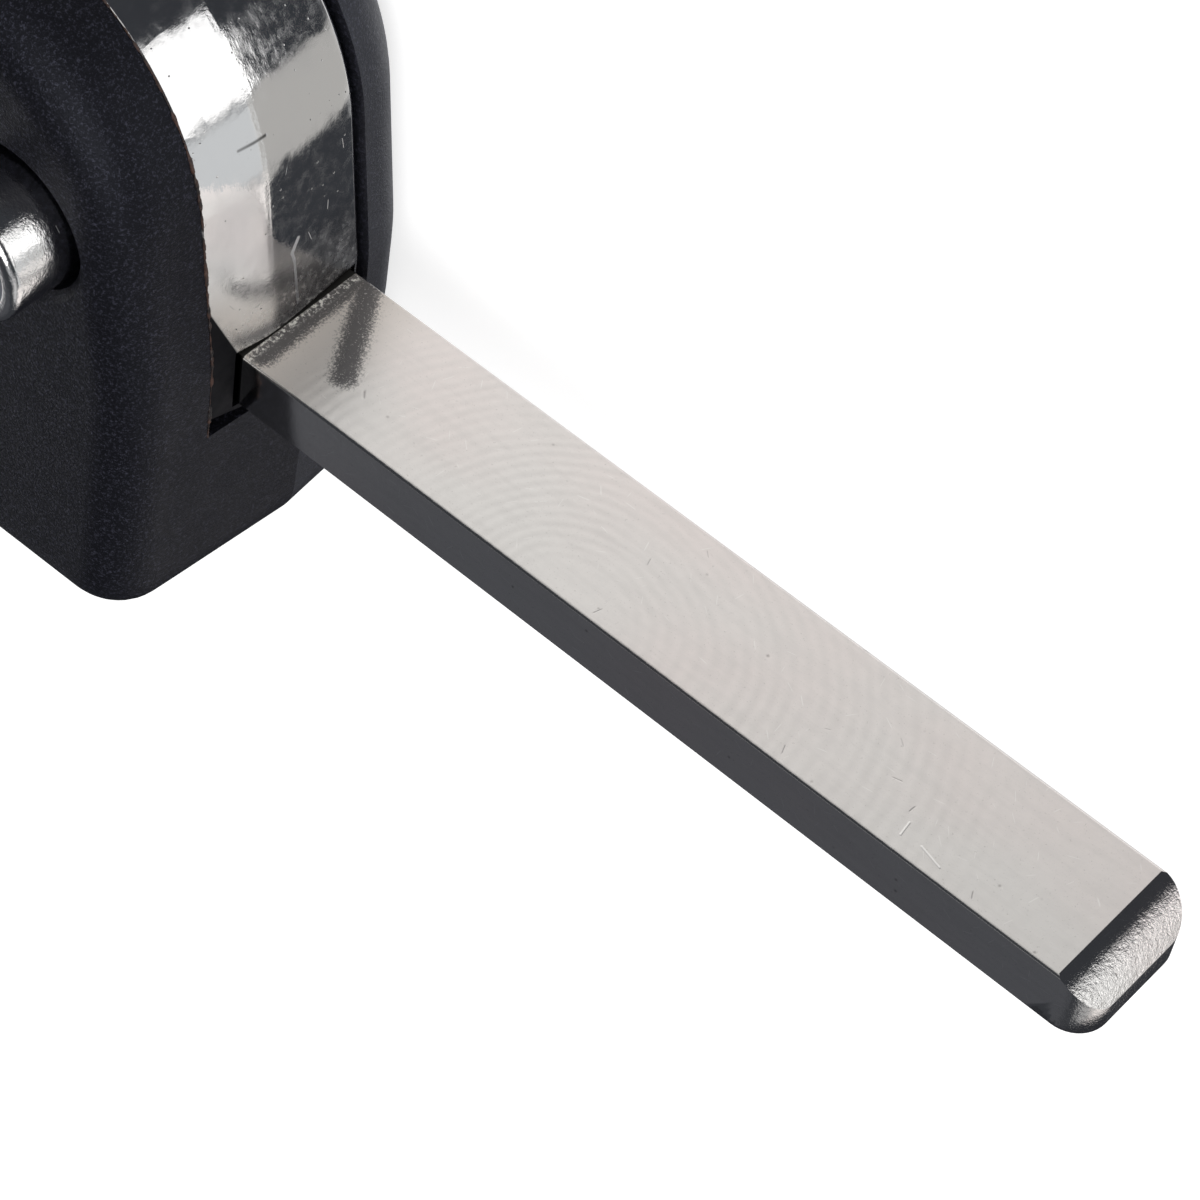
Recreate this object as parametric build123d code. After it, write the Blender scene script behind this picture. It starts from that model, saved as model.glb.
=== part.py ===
from build123d import *
import os
from math import acos, atan2, cos, degrees, hypot, radians, sin, tan

# A flip key: a moulded two-part case, and a chrome head that carries the blade and turns in the case's end.
# Sizes are in millimetres. X runs from the pivot to the open blade's tip, Y across the case and Z from the
# case's back to its front. The origin is on the back face, on the pivot axis.

# Blade
BLADE_LENGTH = 43.8  # head to tip
BLADE_WIDTH = 6.8  # along the pivot axis
BLADE_THICK = 3.0
BLADE_OFFSET = 7.8  # pivot axis to the blade's middle plane
BLADE_MID_Z = 7.5
BLADE_ARRIS = 0.15  # small bevel along the long edges
BLADE_SEAT = 1.0  # how far the full section enters the head's end face
BLADE_FIT = 0.03
SOCKET_GAP = 0.15  # open line round the blade at the socket's mouth
SOCKET_GAP_DEPTH = 0.3
TIP_CORNER_R = 1.5
TIP_BEVEL_RUN = 1.9
TIP_BEVEL_DROP = 1.5
TANG_LENGTH = 5.4
TANG_WIDTH = 5.0
TANG_THICK = 2.4
ROLL_PIN_R = 0.75
ROLL_PIN_WALL = 0.35
ROLL_PIN_LENGTH = 4.6
ROLL_PIN_SLIT = 0.3
ROLL_PIN_SET = 3.6  # pin to the end face
ROLL_PIN_SINK = 0.1

# Head
HEAD_BACK_Z = 3.6
HEAD_DEPTH = 8.5
HEAD_FOOT = 0.6  # metal under the blade
SHOULDER_X = 7.2  # pivot axis to the end face that the blade leaves
SHOULDER_RISE = 0.3  # flat end face above the blade
BARREL_R = 10.4
BARREL_X = -4.1
BARREL_Y = 0.2
RIDGE_DEPTH = 3.1  # front face to the ridge of the crown
RIDGE_FLAT = 0.05
RIDGE_PROUD = 0.3  # crown's ridge to the case's own outline
FRONT_FALL = 0.45  # crown, ridge to front edge
BACK_FALL = 0.35  # crown, ridge to back edge

# Case
CASE_LENGTH = 65.0
CASE_DEPTH = 16.5
CASE_LOW_Y = -21.3
CASE_BOW = 0.8  # swell of the long lower side
END_LEAN = 0.5
SHOULDER_BLEND = 14.0
DRAFT = 4.0  # degrees that the sides lean in, to the front and to the back of the parting line
PARTING_Z = 6.6
WALL = 1.6
END_CORNER_R = 3.2
FAR_CORNER_R = 9.0
FRONT_EDGE_R = 2.6
BACK_EDGE_R = 2.9
FAR_TAPER_RUN = 13.0  # keyring end that slopes down
FAR_TAPER_DROP = 3.6
FAR_TAPER_BLEND = 20.0
FAR_LIFT_RUN = 6.0  # keyring end that lifts off the table
FAR_LIFT_DROP = 1.6
FAR_LIFT_BLEND = 14.0
BAY_CORNER_R = 2.0
LIP_THICK = 0.6
LIP_HEIGHT = 1.0
LIP_GAP = 0.1

# Head pocket and blade channel
SIDE_GAP = 0.3  # head to the case, front and back
SWING_GAP = 0.35
FOOT_GAP = 0.5
POCKET_WALL = 1.3
CHANNEL_GAP = 0.4

# Keyring eye
EYE_R = 2.5
EYE_INSET = 4.6  # centre to the case's end
EYE_Y = -5.5
EYE_BACK_Z = 4.5
EYE_DEPTH = 7.0
EYE_SINK_R = 4.3

# Release button and lock
KNOB_R = 3.1
KNOB_STAND = 2.9
KNOB_EDGE_R = 0.45
KNOB_RIM = 0.7
KNOB_TRAVEL = 1.8
KNOB_GAP = 0.3
KNOB_HOLE_BEVEL = 0.4
DISC_THICK = 0.5
DISC_SINK = 0.08
STEM_R = 1.5
STEM_TAIL = 0.2  # stem past its clip
COLLAR_HEIGHT = 2.2
LUG_INSET = 0.3
LUG_WIDTH = 2.4
LUG_LOCK = 1.3  # height of the lugs inside the front shell
LUG_GAP = 0.1
RUN_FIT = 0.05  # radial play of what turns or slides
FRONT_JOURNAL_WALL = 2.05
FRONT_JOURNAL_HEIGHT = 1.1
BACK_JOURNAL_WALL = 1.5
BACK_JOURNAL_HEIGHT = 2.3
CUP_SHEET = 0.4
CUP_PLAY = 0.1
CUP_FLOOR_Z = 3.9
CUP_HEIGHT = 1.5
CUP_LEDGE = 0.7
CLIP_R = 2.3
CLIP_THICK = 0.4
CLIP_GROOVE = 0.3
BACK_SKIN = 1.1  # case wall behind the stem
SPRING_WIRE = 0.6
SPRING_GAP = 0.25
SPRING_END_GAP = 0.05
SPRING_TURNS = 6

# Keys and their rubber mat
KEY_NAMES = ("lock_key_cap", "unlock_key_cap", "boot_key_cap")
KEY_SPACE = 2.1  # between neighbouring keys
KEY_SET = 1.5  # pocket's wall to the first key
KEY_END_SET = 3.1  # bay's far end to the last key
KEY_MID_Y = -6.0
KEY_LENGTH = 13.0
KEY_CORNER_R = 2.0
KEY_GAP = 0.3
KEY_STAND = 0.6
KEY_FLANGE = 0.8
KEY_FLANGE_THICK = 0.65
KEY_FLANGE_GAP = 0.05
KEY_TRAVEL = 0.5
KEY_EDGE_R = 0.4
KEY_DISH_R = 30.0
KEY_DISH_DEPTH = 0.25
MAT_THICK = 0.8
MAT_SIDE = 0.8
DOME_R = 2.2
DOME_HEIGHT = 0.4
DOME_GAP = 0.1
PEG_R = 0.6
PEG_SHOULDER_R = 1.2
PEG_CLEAR = 0.2
PEG_TAIL = 0.2

# Cell well and its contacts
CELL_R = 10.2
CELL_SET = 0.7  # bay's far end to the well
CELL_Y = -7.9
CELL_WALL = 0.8
CELL_DEPTH = 3.2
CELL_NOTCH = 5.0
STRIP_THICK = 0.25
STRIP_WIDTH = 3.0
STRIP_FOOT = 4.0
TONGUE_RUN = 6.0
TONGUE_RISE = 1.0
STAKE_R = 0.6
STAKE_HEAD_R = 1.0
STAKE_HEAD = 0.3

# Screws
NEAR_SCREW_X = -2.0
NEAR_SCREW_SET = 3.2  # case's inner side to the screw's axis
SCREW_R = 0.8
SCREW_LENGTH = 9.5
SCREW_HEAD_R = 1.5
SCREW_HEAD_THICK = 1.0
SCREW_SINK = 0.5  # back face to the screw's head
SCREW_CROSS = 0.4
SCREW_CROSS_LENGTH = 2.0
SCREW_CROSS_DEPTH = 0.5
BOSS_R = 1.8
PILLAR_GAP = 0.3
HOLE_GAP = 0.2

# Working lengths that shape nothing
PAST = 1.0  # how far a cut runs past the face it opens
NEAR = 0.01  # reach for picking an edge or a corner by its place

# Places and fits that follow from the sizes above
FAR_X = SHOULDER_X - CASE_LENGTH
TIP_X = SHOULDER_X + BLADE_LENGTH
TOP_Y = BARREL_Y + BARREL_R
BLADE_HIGH_Y = -BLADE_OFFSET + BLADE_THICK / 2
BLADE_LOW_Y = -BLADE_OFFSET - BLADE_THICK / 2
SEAT_X = SHOULDER_X - BLADE_SEAT
HEAD_FRONT_Z = HEAD_BACK_Z + HEAD_DEPTH
HEAD_LOW_Y = BLADE_LOW_Y - HEAD_FOOT
HEAD_REACH = hypot(BARREL_X, TOP_Y + RIDGE_PROUD)
SLOT_BACK_Z = HEAD_BACK_Z - SIDE_GAP
SLOT_FRONT_Z = HEAD_FRONT_Z + SIDE_GAP
SLOT_LOW_Y = HEAD_LOW_Y - FOOT_GAP
POCKET_R = HEAD_REACH + SWING_GAP
CHANNEL_FLOOR_Y = BLADE_OFFSET - BLADE_THICK / 2 - CHANNEL_GAP
PARTING_PROUD = (SLOT_FRONT_Z - PARTING_Z) * tan(radians(DRAFT))
BAY_FRONT_Z = CASE_DEPTH - WALL
EYE_X = FAR_X + EYE_INSET
BAY_END_X = EYE_X + EYE_SINK_R + WALL
BORE_R = KNOB_R + RUN_FIT
FRONT_JOURNAL_R = BORE_R + FRONT_JOURNAL_WALL
JOURNAL_TOP_Z = HEAD_FRONT_Z + FRONT_JOURNAL_HEIGHT
LUG_REACH = FRONT_JOURNAL_R - LUG_INSET
COLLAR_TOP_Z = JOURNAL_TOP_Z + LUG_LOCK
COLLAR_BACK_Z = COLLAR_TOP_Z - COLLAR_HEIGHT
KNOB_TOP_Z = CASE_DEPTH + KNOB_STAND
DISC_R = KNOB_R - KNOB_RIM
DISC_BACK_Z = KNOB_TOP_Z - DISC_SINK - DISC_THICK
SPRING_OUTER_R = KNOB_R - SPRING_GAP
CUP_R = SPRING_OUTER_R + CUP_PLAY + CUP_SHEET
BACK_JOURNAL_R = CUP_R + BACK_JOURNAL_WALL
JOURNAL_BACK_Z = SLOT_BACK_Z + BACK_JOURNAL_HEIGHT
CLIP_BACK_Z = CUP_FLOOR_Z - LUG_GAP - CLIP_THICK
KEY_ROW_HIGH_X = -POCKET_R - POCKET_WALL - KEY_SET
KEY_ROW_LOW_X = BAY_END_X + KEY_END_SET
KEY_PITCH = (KEY_ROW_HIGH_X - KEY_ROW_LOW_X + KEY_SPACE) / len(KEY_NAMES)
KEY_WIDTH = KEY_PITCH - KEY_SPACE
KEY_PLACES = [KEY_ROW_HIGH_X - KEY_WIDTH / 2 - KEY_PITCH * i for i in range(len(KEY_NAMES))]
FLANGE_FRONT_Z = BAY_FRONT_Z - KEY_FLANGE_GAP
FLANGE_BACK_Z = FLANGE_FRONT_Z - KEY_FLANGE_THICK
MAT_FRONT_Z = FLANGE_BACK_Z - KEY_TRAVEL - DOME_GAP - DOME_HEIGHT
MAT_BACK_Z = MAT_FRONT_Z - MAT_THICK
PEG_REACH = KEY_LENGTH / 2 + KEY_FLANGE + PEG_CLEAR + PEG_SHOULDER_R
PEG_ROWS = (KEY_MID_Y - PEG_REACH, KEY_MID_Y + PEG_REACH)
PEG_PLACES = [(x, y) for x in (KEY_PLACES[0], KEY_PLACES[-1]) for y in PEG_ROWS]
CELL_X = BAY_END_X + CELL_SET + CELL_WALL + CELL_R
PLUS_X = CELL_X + CELL_R + CELL_WALL + STRIP_THICK
NECK_Z = SCREW_SINK + SCREW_HEAD_THICK
SCREW_TIP_Z = NECK_Z + SCREW_LENGTH
SCREW_PLACES = (
    (BAY_END_X + PILLAR_GAP + BOSS_R, CHANNEL_FLOOR_Y - POCKET_WALL - PILLAR_GAP - BOSS_R),
    (NEAR_SCREW_X, CASE_LOW_Y + WALL + NEAR_SCREW_SET),
)


def rod(radius, low, high, x=0.0, y=0.0):
    """A round bar along Z between two heights."""
    return Pos(x, y, low) * Cylinder(radius, high - low, align=(Align.CENTER, Align.CENTER, Align.MIN))


def block(low, high):
    """A block between two corners."""
    size = [b - a for a, b in zip(low, high)]
    return Pos(*low) * Box(*size, align=(Align.MIN, Align.MIN, Align.MIN))


def prism(face, low, high):
    """A flat outline raised between two heights."""
    return Pos(0, 0, low) * extrude(face, high - low)


def end_edges(foot_y, lean, proud):
    """The rounded end's outline: up past the blade, in to the barrel and over to its top."""
    centre = Vector(BARREL_X, BARREL_Y)
    radius, end_x = BARREL_R + proud, SHOULDER_X + proud
    shoulder = Vector(end_x, BLADE_HIGH_Y + SHOULDER_RISE)
    reach = shoulder - centre
    turn = atan2(reach.Y, reach.X) + acos(radius / reach.length)
    tangent = centre + Vector(cos(turn), sin(turn)) * radius
    foot = Vector(end_x - lean, foot_y)
    base = Vector(end_x, HEAD_LOW_Y)
    below = [Line(foot, base), Line(base, shoulder)] if lean else [Line(foot, shoulder)]
    return below + [Line(shoulder, tangent), CenterArc(centre, radius, degrees(turn), 90 - degrees(turn))]


def head_outline():
    """The head's outline: the rounded end, and the same end turned half round, within the pocket."""
    side = 2 * HEAD_REACH
    top_y, end_x = TOP_Y + RIDGE_PROUD, SHOULDER_X + RIDGE_PROUD
    ends = []
    for foot_y in (HEAD_LOW_Y, -top_y):
        back = Polyline((BARREL_X, top_y), (-side, top_y), (-side, foot_y), (end_x, foot_y))
        ends.append(make_face(end_edges(foot_y, 0.0, RIDGE_PROUD) + [back]))
    swept = Circle(HEAD_REACH) + Pos(side / 2, -side / 2) * Rectangle(side, side)
    return ends[0] & (Rot(0, 0, 180) * ends[1]) & swept


def case_outline():
    """The case's outline where its front half meets the head's slot, with its corners rounded."""
    foot = Vector(SHOULDER_X - END_LEAN, CASE_LOW_Y)
    far_foot = Vector(FAR_X, CASE_LOW_Y + CASE_BOW)
    middle = (foot + far_foot) * 0.5 - Vector(0, CASE_BOW)
    back = Polyline((BARREL_X, TOP_Y), (FAR_X, TOP_Y), (FAR_X, far_foot.Y))
    below = ThreePointArc(far_foot, middle, foot)
    face = make_face(end_edges(CASE_LOW_Y, END_LEAN, 0.0) + [back, below])
    face = fillet(face.vertices().filter_by(lambda v: v.X < FAR_X + NEAR), FAR_CORNER_R)
    shoulder = (SHOULDER_X, BLADE_HIGH_Y + SHOULDER_RISE)
    face = fillet(face.vertices().sort_by_distance(shoulder)[0], SHOULDER_BLEND)
    return fillet(face.vertices().sort_by_distance(foot)[0], END_CORNER_R)


def rim_edges(form, low, high):
    """The edges that lie between two heights, without the creases that cross the case."""
    edges = form.edges().filter_by_position(Axis.Z, low, high)
    across = edges.filter_by(Axis.Y).filter_by_position(Axis.X, FAR_X + FAR_LIFT_RUN / 2, 0)
    return [e for e in edges if e not in across]


def case_form():
    """The closed case: drafted from its parting line, sloped at the keyring end, rounded at front and back."""
    parting = Pos(0, 0, PARTING_Z) * offset(case_outline(), PARTING_PROUD, kind=Kind.INTERSECTION)
    form = extrude(parting, CASE_DEPTH - PARTING_Z, taper=DRAFT)
    form += mirror(extrude(parting, PARTING_Z, taper=DRAFT), Plane.XY.offset(PARTING_Z))
    slopes = (
        (FAR_TAPER_RUN, FAR_TAPER_BLEND, CASE_DEPTH, -FAR_TAPER_DROP, CASE_DEPTH + PAST),
        (FAR_LIFT_RUN, FAR_LIFT_BLEND, 0, FAR_LIFT_DROP, -PAST),
    )
    for run, blend, level, drop, beyond in slopes:
        start = (FAR_X + run, level)
        past_end = (FAR_X - run, level + 2 * drop)
        wedge = Polyline(start, past_end, (past_end[0], beyond), (start[0], beyond), close=True)
        form -= extrude(Plane.XZ * make_face(wedge), CASE_LENGTH, both=True)
        crease = form.edges().filter_by(Axis.Y).sort_by_distance((start[0], 0, level))[0]
        form = fillet(crease, blend)
    form = fillet(rim_edges(form, (PARTING_Z + CASE_DEPTH) / 2 + NEAR, CASE_DEPTH + PAST), FRONT_EDGE_R)
    return fillet(rim_edges(form, -PAST, PARTING_Z / 2 - NEAR), BACK_EDGE_R)


def head_pocket():
    """The hollow that the head turns in, open at the case's end and its upper side."""
    high = 2 * TOP_Y
    pocket = rod(POCKET_R, SLOT_BACK_Z, SLOT_FRONT_Z)
    pocket += block((0, SLOT_LOW_Y, SLOT_BACK_Z), (2 * SHOULDER_X, high, SLOT_FRONT_Z))
    return pocket + block((-SHOULDER_X - FOOT_GAP, CHANNEL_FLOOR_Y, SLOT_BACK_Z), (0, high, SLOT_FRONT_Z))


def blade_channel():
    """The channel in the case's upper side that takes the folded blade."""
    half = BLADE_WIDTH / 2 + CHANNEL_GAP
    low = (-TIP_X - FOOT_GAP, CHANNEL_FLOOR_Y, BLADE_MID_Z - half)
    return block(low, (-SHOULDER_X, 2 * TOP_Y, BLADE_MID_Z + half))


def bay_outline():
    """The inside of the case in the parting plane, clear of the pocket, the channel and the keyring eye."""
    depth = 2 * CASE_LENGTH
    inside = offset(case_outline(), -WALL)
    inside -= Circle(POCKET_R + POCKET_WALL)
    inside -= Pos(0, CHANNEL_FLOOR_Y - POCKET_WALL + depth / 2) * Rectangle(2 * depth, depth)
    inside -= Pos(BAY_END_X - depth / 2, 0) * Rectangle(depth, 2 * depth)
    inside = inside.faces().sort_by(SortBy.AREA)[-1]
    return fillet(inside.vertices().filter_by(lambda v: v.X < BAY_END_X + NEAR), BAY_CORNER_R)


def keyring_eye():
    """The hole for a keyring, with a sunk flat round each mouth."""
    eye = rod(EYE_R, -PAST, CASE_DEPTH + PAST, EYE_X, EYE_Y)
    eye += rod(EYE_SINK_R, -PAST, EYE_BACK_Z, EYE_X, EYE_Y)
    return eye + rod(EYE_SINK_R, EYE_BACK_Z + EYE_DEPTH, CASE_DEPTH + PAST, EYE_X, EYE_Y)


def cut_case():
    """The closed case with its pocket, channel and keyring eye."""
    return case_form() - head_pocket() - blade_channel() - keyring_eye()


def key_window(grow):
    """The outline of one key, grown all round."""
    return RectangleRounded(KEY_WIDTH + 2 * grow, KEY_LENGTH + 2 * grow, KEY_CORNER_R + grow)


def front_shell(case):
    """The deep half: knob hole, journal bore, key windows, screw pillars and the pegs that hold the mat."""
    reach = 2 * CASE_LENGTH
    shell = case & block((-reach, -reach, PARTING_Z), (reach, reach, CASE_DEPTH + PAST))
    bay = bay_outline()
    shell -= prism(bay, PARTING_Z, BAY_FRONT_Z)
    shell -= prism(offset(bay, LIP_THICK + LIP_GAP), PARTING_Z, PARTING_Z + LIP_HEIGHT + LIP_GAP)
    hole_r = KNOB_R + KNOB_GAP
    shell -= rod(hole_r, SLOT_FRONT_Z, CASE_DEPTH)
    bevel = Cone(hole_r, hole_r + KNOB_HOLE_BEVEL, KNOB_HOLE_BEVEL)
    shell -= Pos(0, 0, CASE_DEPTH - KNOB_HOLE_BEVEL / 2) * bevel
    shell -= rod(FRONT_JOURNAL_R + RUN_FIT, SLOT_FRONT_Z, COLLAR_TOP_Z + LUG_GAP)
    for x in KEY_PLACES:
        shell -= prism(Pos(x, KEY_MID_Y) * key_window(KEY_GAP), BAY_FRONT_Z, CASE_DEPTH + PAST)
    for x, y in PEG_PLACES:
        shell += rod(PEG_SHOULDER_R, MAT_FRONT_Z, BAY_FRONT_Z, x, y)
        shell += rod(PEG_R, MAT_BACK_Z - PEG_TAIL, BAY_FRONT_Z, x, y)
    for x, y in SCREW_PLACES:
        shell += rod(BOSS_R, PARTING_Z, BAY_FRONT_Z, x, y)
        shell -= rod(SCREW_R, PARTING_Z, SCREW_TIP_Z + HOLE_GAP, x, y)
    return shell


def rear_shell(case):
    """The shallow half: journal and stem well, lip, cell well, screw holes and the contacts' stakes."""
    reach = 2 * CASE_LENGTH
    shell = case & block((-reach, -reach, -PAST), (reach, reach, PARTING_Z))
    bay = bay_outline()
    shell -= prism(bay, WALL, PARTING_Z)
    shell += prism(offset(bay, LIP_THICK) - bay, PARTING_Z, PARTING_Z + LIP_HEIGHT)
    shell += rod(BACK_JOURNAL_R, SLOT_BACK_Z, JOURNAL_BACK_Z)
    shell -= rod(CUP_R, CUP_FLOOR_Z, JOURNAL_BACK_Z)
    shell -= rod(CUP_R - CUP_LEDGE, BACK_SKIN, CUP_FLOOR_Z)
    well = rod(CELL_R + CELL_WALL, WALL, WALL + CELL_DEPTH) - rod(CELL_R, WALL, WALL + CELL_DEPTH)
    well -= Pos(CELL_R, 0, WALL + CELL_DEPTH / 2) * Box(2 * CELL_R, CELL_NOTCH, CELL_DEPTH)
    shell += Pos(CELL_X, CELL_Y) * well
    for x, y in SCREW_PLACES:
        shell += rod(BOSS_R, WALL, PARTING_Z, x, y)
        shell -= rod(SCREW_R + HOLE_GAP, 0, PARTING_Z, x, y)
        shell -= rod(SCREW_HEAD_R + HOLE_GAP, 0, NECK_Z, x, y)
    for x in stake_places():
        shell += rod(STAKE_R, WALL, WALL + STRIP_THICK, x, CELL_Y)
        shell += rod(STAKE_HEAD_R, WALL + STRIP_THICK, WALL + STRIP_THICK + STAKE_HEAD, x, CELL_Y)
    return shell


def crown(head):
    """Falls away from the ridge towards the front and back faces all round the head."""
    falls = ((-1, FRONT_FALL, RIDGE_DEPTH), (0, BACK_FALL, HEAD_DEPTH - RIDGE_DEPTH - RIDGE_FLAT))
    for index, fall, depth in falls:
        face = head.faces().sort_by(Axis.Z)[index]
        head = chamfer(face.outer_wire().edges(), fall, depth, reference=face)
    return head


def blade_body(x_low, width, thick, grow):
    """A straight length of blade section, from an inner end out to the tip."""
    half_y, half_z = thick / 2 + grow, width / 2 + grow
    low = (x_low, -BLADE_OFFSET - half_y, BLADE_MID_Z - half_z)
    return block(low, (TIP_X, -BLADE_OFFSET + half_y, BLADE_MID_Z + half_z))


def flip_head():
    """The die-cast barrel: crowned outside, bored for the lock and the spring, with the blade's socket."""
    head = crown(prism(head_outline(), HEAD_BACK_Z, HEAD_FRONT_Z))
    head += rod(FRONT_JOURNAL_R, HEAD_FRONT_Z, JOURNAL_TOP_Z)
    head -= rod(BORE_R, HEAD_BACK_Z, JOURNAL_TOP_Z)
    head -= rod(BACK_JOURNAL_R + RUN_FIT, HEAD_BACK_Z, JOURNAL_BACK_Z + SIDE_GAP)
    head -= lugs(COLLAR_BACK_Z - KNOB_TRAVEL - LUG_GAP, JOURNAL_TOP_Z, RUN_FIT)
    head -= blade_body(SEAT_X, BLADE_WIDTH, BLADE_THICK, BLADE_FIT)
    head -= blade_body(SEAT_X - TANG_LENGTH - BLADE_FIT, TANG_WIDTH, TANG_THICK, BLADE_FIT)
    head -= blade_body(SHOULDER_X - SOCKET_GAP_DEPTH, BLADE_WIDTH, BLADE_THICK, SOCKET_GAP)
    return head - roll_pin_rod(ROLL_PIN_R)


def key_blade():
    """The plain blank: bevelled edges, rounded tip that slopes to its end, and a thinner tang."""
    blade = blade_body(SEAT_X, BLADE_WIDTH, BLADE_THICK, 0)
    corners = blade.edges().filter_by(Axis.Y).filter_by_position(Axis.X, TIP_X - NEAR, TIP_X + NEAR)
    blade = fillet(corners, TIP_CORNER_R)
    blade = chamfer(blade.edges().filter_by(Axis.X), BLADE_ARRIS)
    start_x, above = TIP_X - TIP_BEVEL_RUN, BLADE_HIGH_Y + PAST
    slope = ((start_x, BLADE_HIGH_Y), (TIP_X, BLADE_HIGH_Y - TIP_BEVEL_DROP))
    blade -= prism(make_face(Polyline(*slope, (TIP_X, above), (start_x, above), close=True)), 0, CASE_DEPTH)
    tang = blade_body(SEAT_X - TANG_LENGTH, TANG_WIDTH, TANG_THICK, 0)
    blade += tang & block((0, -2 * BLADE_OFFSET, 0), (SEAT_X, 0, CASE_DEPTH))
    return blade - roll_pin_rod(ROLL_PIN_R)


def roll_pin_rod(radius):
    """A bar along the roll pin's axis, from under the head up through the tang."""
    length = ROLL_PIN_LENGTH
    at = Pos(SHOULDER_X - ROLL_PIN_SET, HEAD_LOW_Y + ROLL_PIN_SINK, BLADE_MID_Z)
    return at * Rot(-90, 0, 0) * Cylinder(radius, length, align=(Align.CENTER, Align.CENTER, Align.MIN))


def blade_roll_pin():
    """The slotted tube that holds the tang in the head."""
    pin = roll_pin_rod(ROLL_PIN_R) - roll_pin_rod(ROLL_PIN_R - ROLL_PIN_WALL)
    x, half = SHOULDER_X - ROLL_PIN_SET, ROLL_PIN_SLIT / 2
    low = (x - 2 * ROLL_PIN_R, -2 * BLADE_OFFSET, BLADE_MID_Z - half)
    return pin - block(low, (x, 0, BLADE_MID_Z + half))


def lugs(low, high, grow):
    """The lock's two lugs, one each side of the axis."""
    bar = Pos(0, 0, (low + high) / 2) * Box(2 * LUG_REACH, LUG_WIDTH + 2 * grow, high - low)
    return bar & rod(LUG_REACH + grow, low, high)


def release_button():
    """The turned knob and its stem, in one piece, recessed for the disc and grooved for the clip."""
    knob = rod(KNOB_R, COLLAR_TOP_Z, KNOB_TOP_Z)
    knob = fillet(knob.edges().sort_by(Axis.Z)[-1], KNOB_EDGE_R)
    knob -= rod(DISC_R, DISC_BACK_Z, KNOB_TOP_Z)
    knob += rod(STEM_R, CLIP_BACK_Z - STEM_TAIL, COLLAR_TOP_Z)
    groove = rod(STEM_R, CLIP_BACK_Z, CLIP_BACK_Z + CLIP_THICK)
    return knob - (groove - rod(STEM_R - CLIP_GROOVE, CLIP_BACK_Z, CLIP_BACK_Z + CLIP_THICK))


def lock_collar():
    """The ring under the knob, with the lugs that lock the head."""
    collar = rod(KNOB_R, COLLAR_BACK_Z, COLLAR_TOP_Z) + lugs(COLLAR_BACK_Z, COLLAR_TOP_Z, 0)
    return collar - rod(STEM_R, COLLAR_BACK_Z, COLLAR_TOP_Z)


def stem_clip():
    """The open retaining ring in the stem's groove."""
    groove_r = STEM_R - CLIP_GROOVE
    ring = rod(CLIP_R, CLIP_BACK_Z, CLIP_BACK_Z + CLIP_THICK)
    ring -= rod(groove_r, CLIP_BACK_Z, CLIP_BACK_Z + CLIP_THICK)
    return ring - block((0, -groove_r, CLIP_BACK_Z), (2 * CLIP_R, groove_r, CLIP_BACK_Z + CLIP_THICK))


def spring_seat():
    """The pressed cup under the spring, with a hole for the stem."""
    cup = rod(CUP_R, CUP_FLOOR_Z, CUP_FLOOR_Z + CUP_HEIGHT)
    cup -= rod(CUP_R - CUP_SHEET, CUP_FLOOR_Z + CUP_SHEET, CUP_FLOOR_Z + CUP_HEIGHT)
    return cup - rod(STEM_R + HOLE_GAP, CUP_FLOOR_Z, CUP_FLOOR_Z + CUP_SHEET)


def flip_spring():
    """The coil between the cup and the collar."""
    margin = SPRING_WIRE / 2 + SPRING_END_GAP
    low = CUP_FLOOR_Z + CUP_SHEET + margin
    height = COLLAR_BACK_Z - margin - low
    coil = Helix(height / SPRING_TURNS, height, SPRING_OUTER_R - SPRING_WIRE / 2)
    section = Plane(coil @ 0, z_dir=coil % 0) * Circle(SPRING_WIRE / 2)
    return Pos(0, 0, low) * sweep(section, path=coil)


def key_cap(x):
    """A moulded key with a flange behind the front wall and a shallow dish for the finger."""
    top = CASE_DEPTH + KEY_STAND
    cap = prism(key_window(0), FLANGE_BACK_Z, top)
    cap = fillet(cap.faces().sort_by(Axis.Z)[-1].edges(), KEY_EDGE_R)
    cap -= Pos(0, 0, top + KEY_DISH_R - KEY_DISH_DEPTH) * Sphere(KEY_DISH_R)
    cap += prism(key_window(KEY_FLANGE), FLANGE_BACK_Z, FLANGE_FRONT_Z)
    return Pos(x, KEY_MID_Y) * cap


def key_mat():
    """The rubber mat: a dome behind each key, holes for the pegs and notches for the screw pillars."""
    length = KEY_PLACES[0] - KEY_PLACES[-1] + KEY_WIDTH + 2 * MAT_SIDE
    mid_x = (KEY_PLACES[0] + KEY_PLACES[-1]) / 2
    sheet = Pos(mid_x, KEY_MID_Y) * RectangleRounded(length, 2 * (PEG_REACH + PEG_SHOULDER_R), KEY_CORNER_R)
    for x, y in PEG_PLACES:
        sheet -= Pos(x, y) * Circle(PEG_R)
    for x, y in SCREW_PLACES:
        sheet -= Pos(x, y) * Circle(BOSS_R + HOLE_GAP)
    mat = prism(sheet, MAT_BACK_Z, MAT_FRONT_Z)
    for x in KEY_PLACES:
        dome = Cone(DOME_R, DOME_R - DOME_HEIGHT, DOME_HEIGHT)
        mat += Pos(x, KEY_MID_Y, MAT_FRONT_Z + DOME_HEIGHT / 2) * dome
    return mat


def stake_places():
    """The stakes' places along X: the contact under the cell, then the one beside it."""
    return CELL_X - STRIP_FOOT, PLUS_X + STRIP_FOOT


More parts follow.
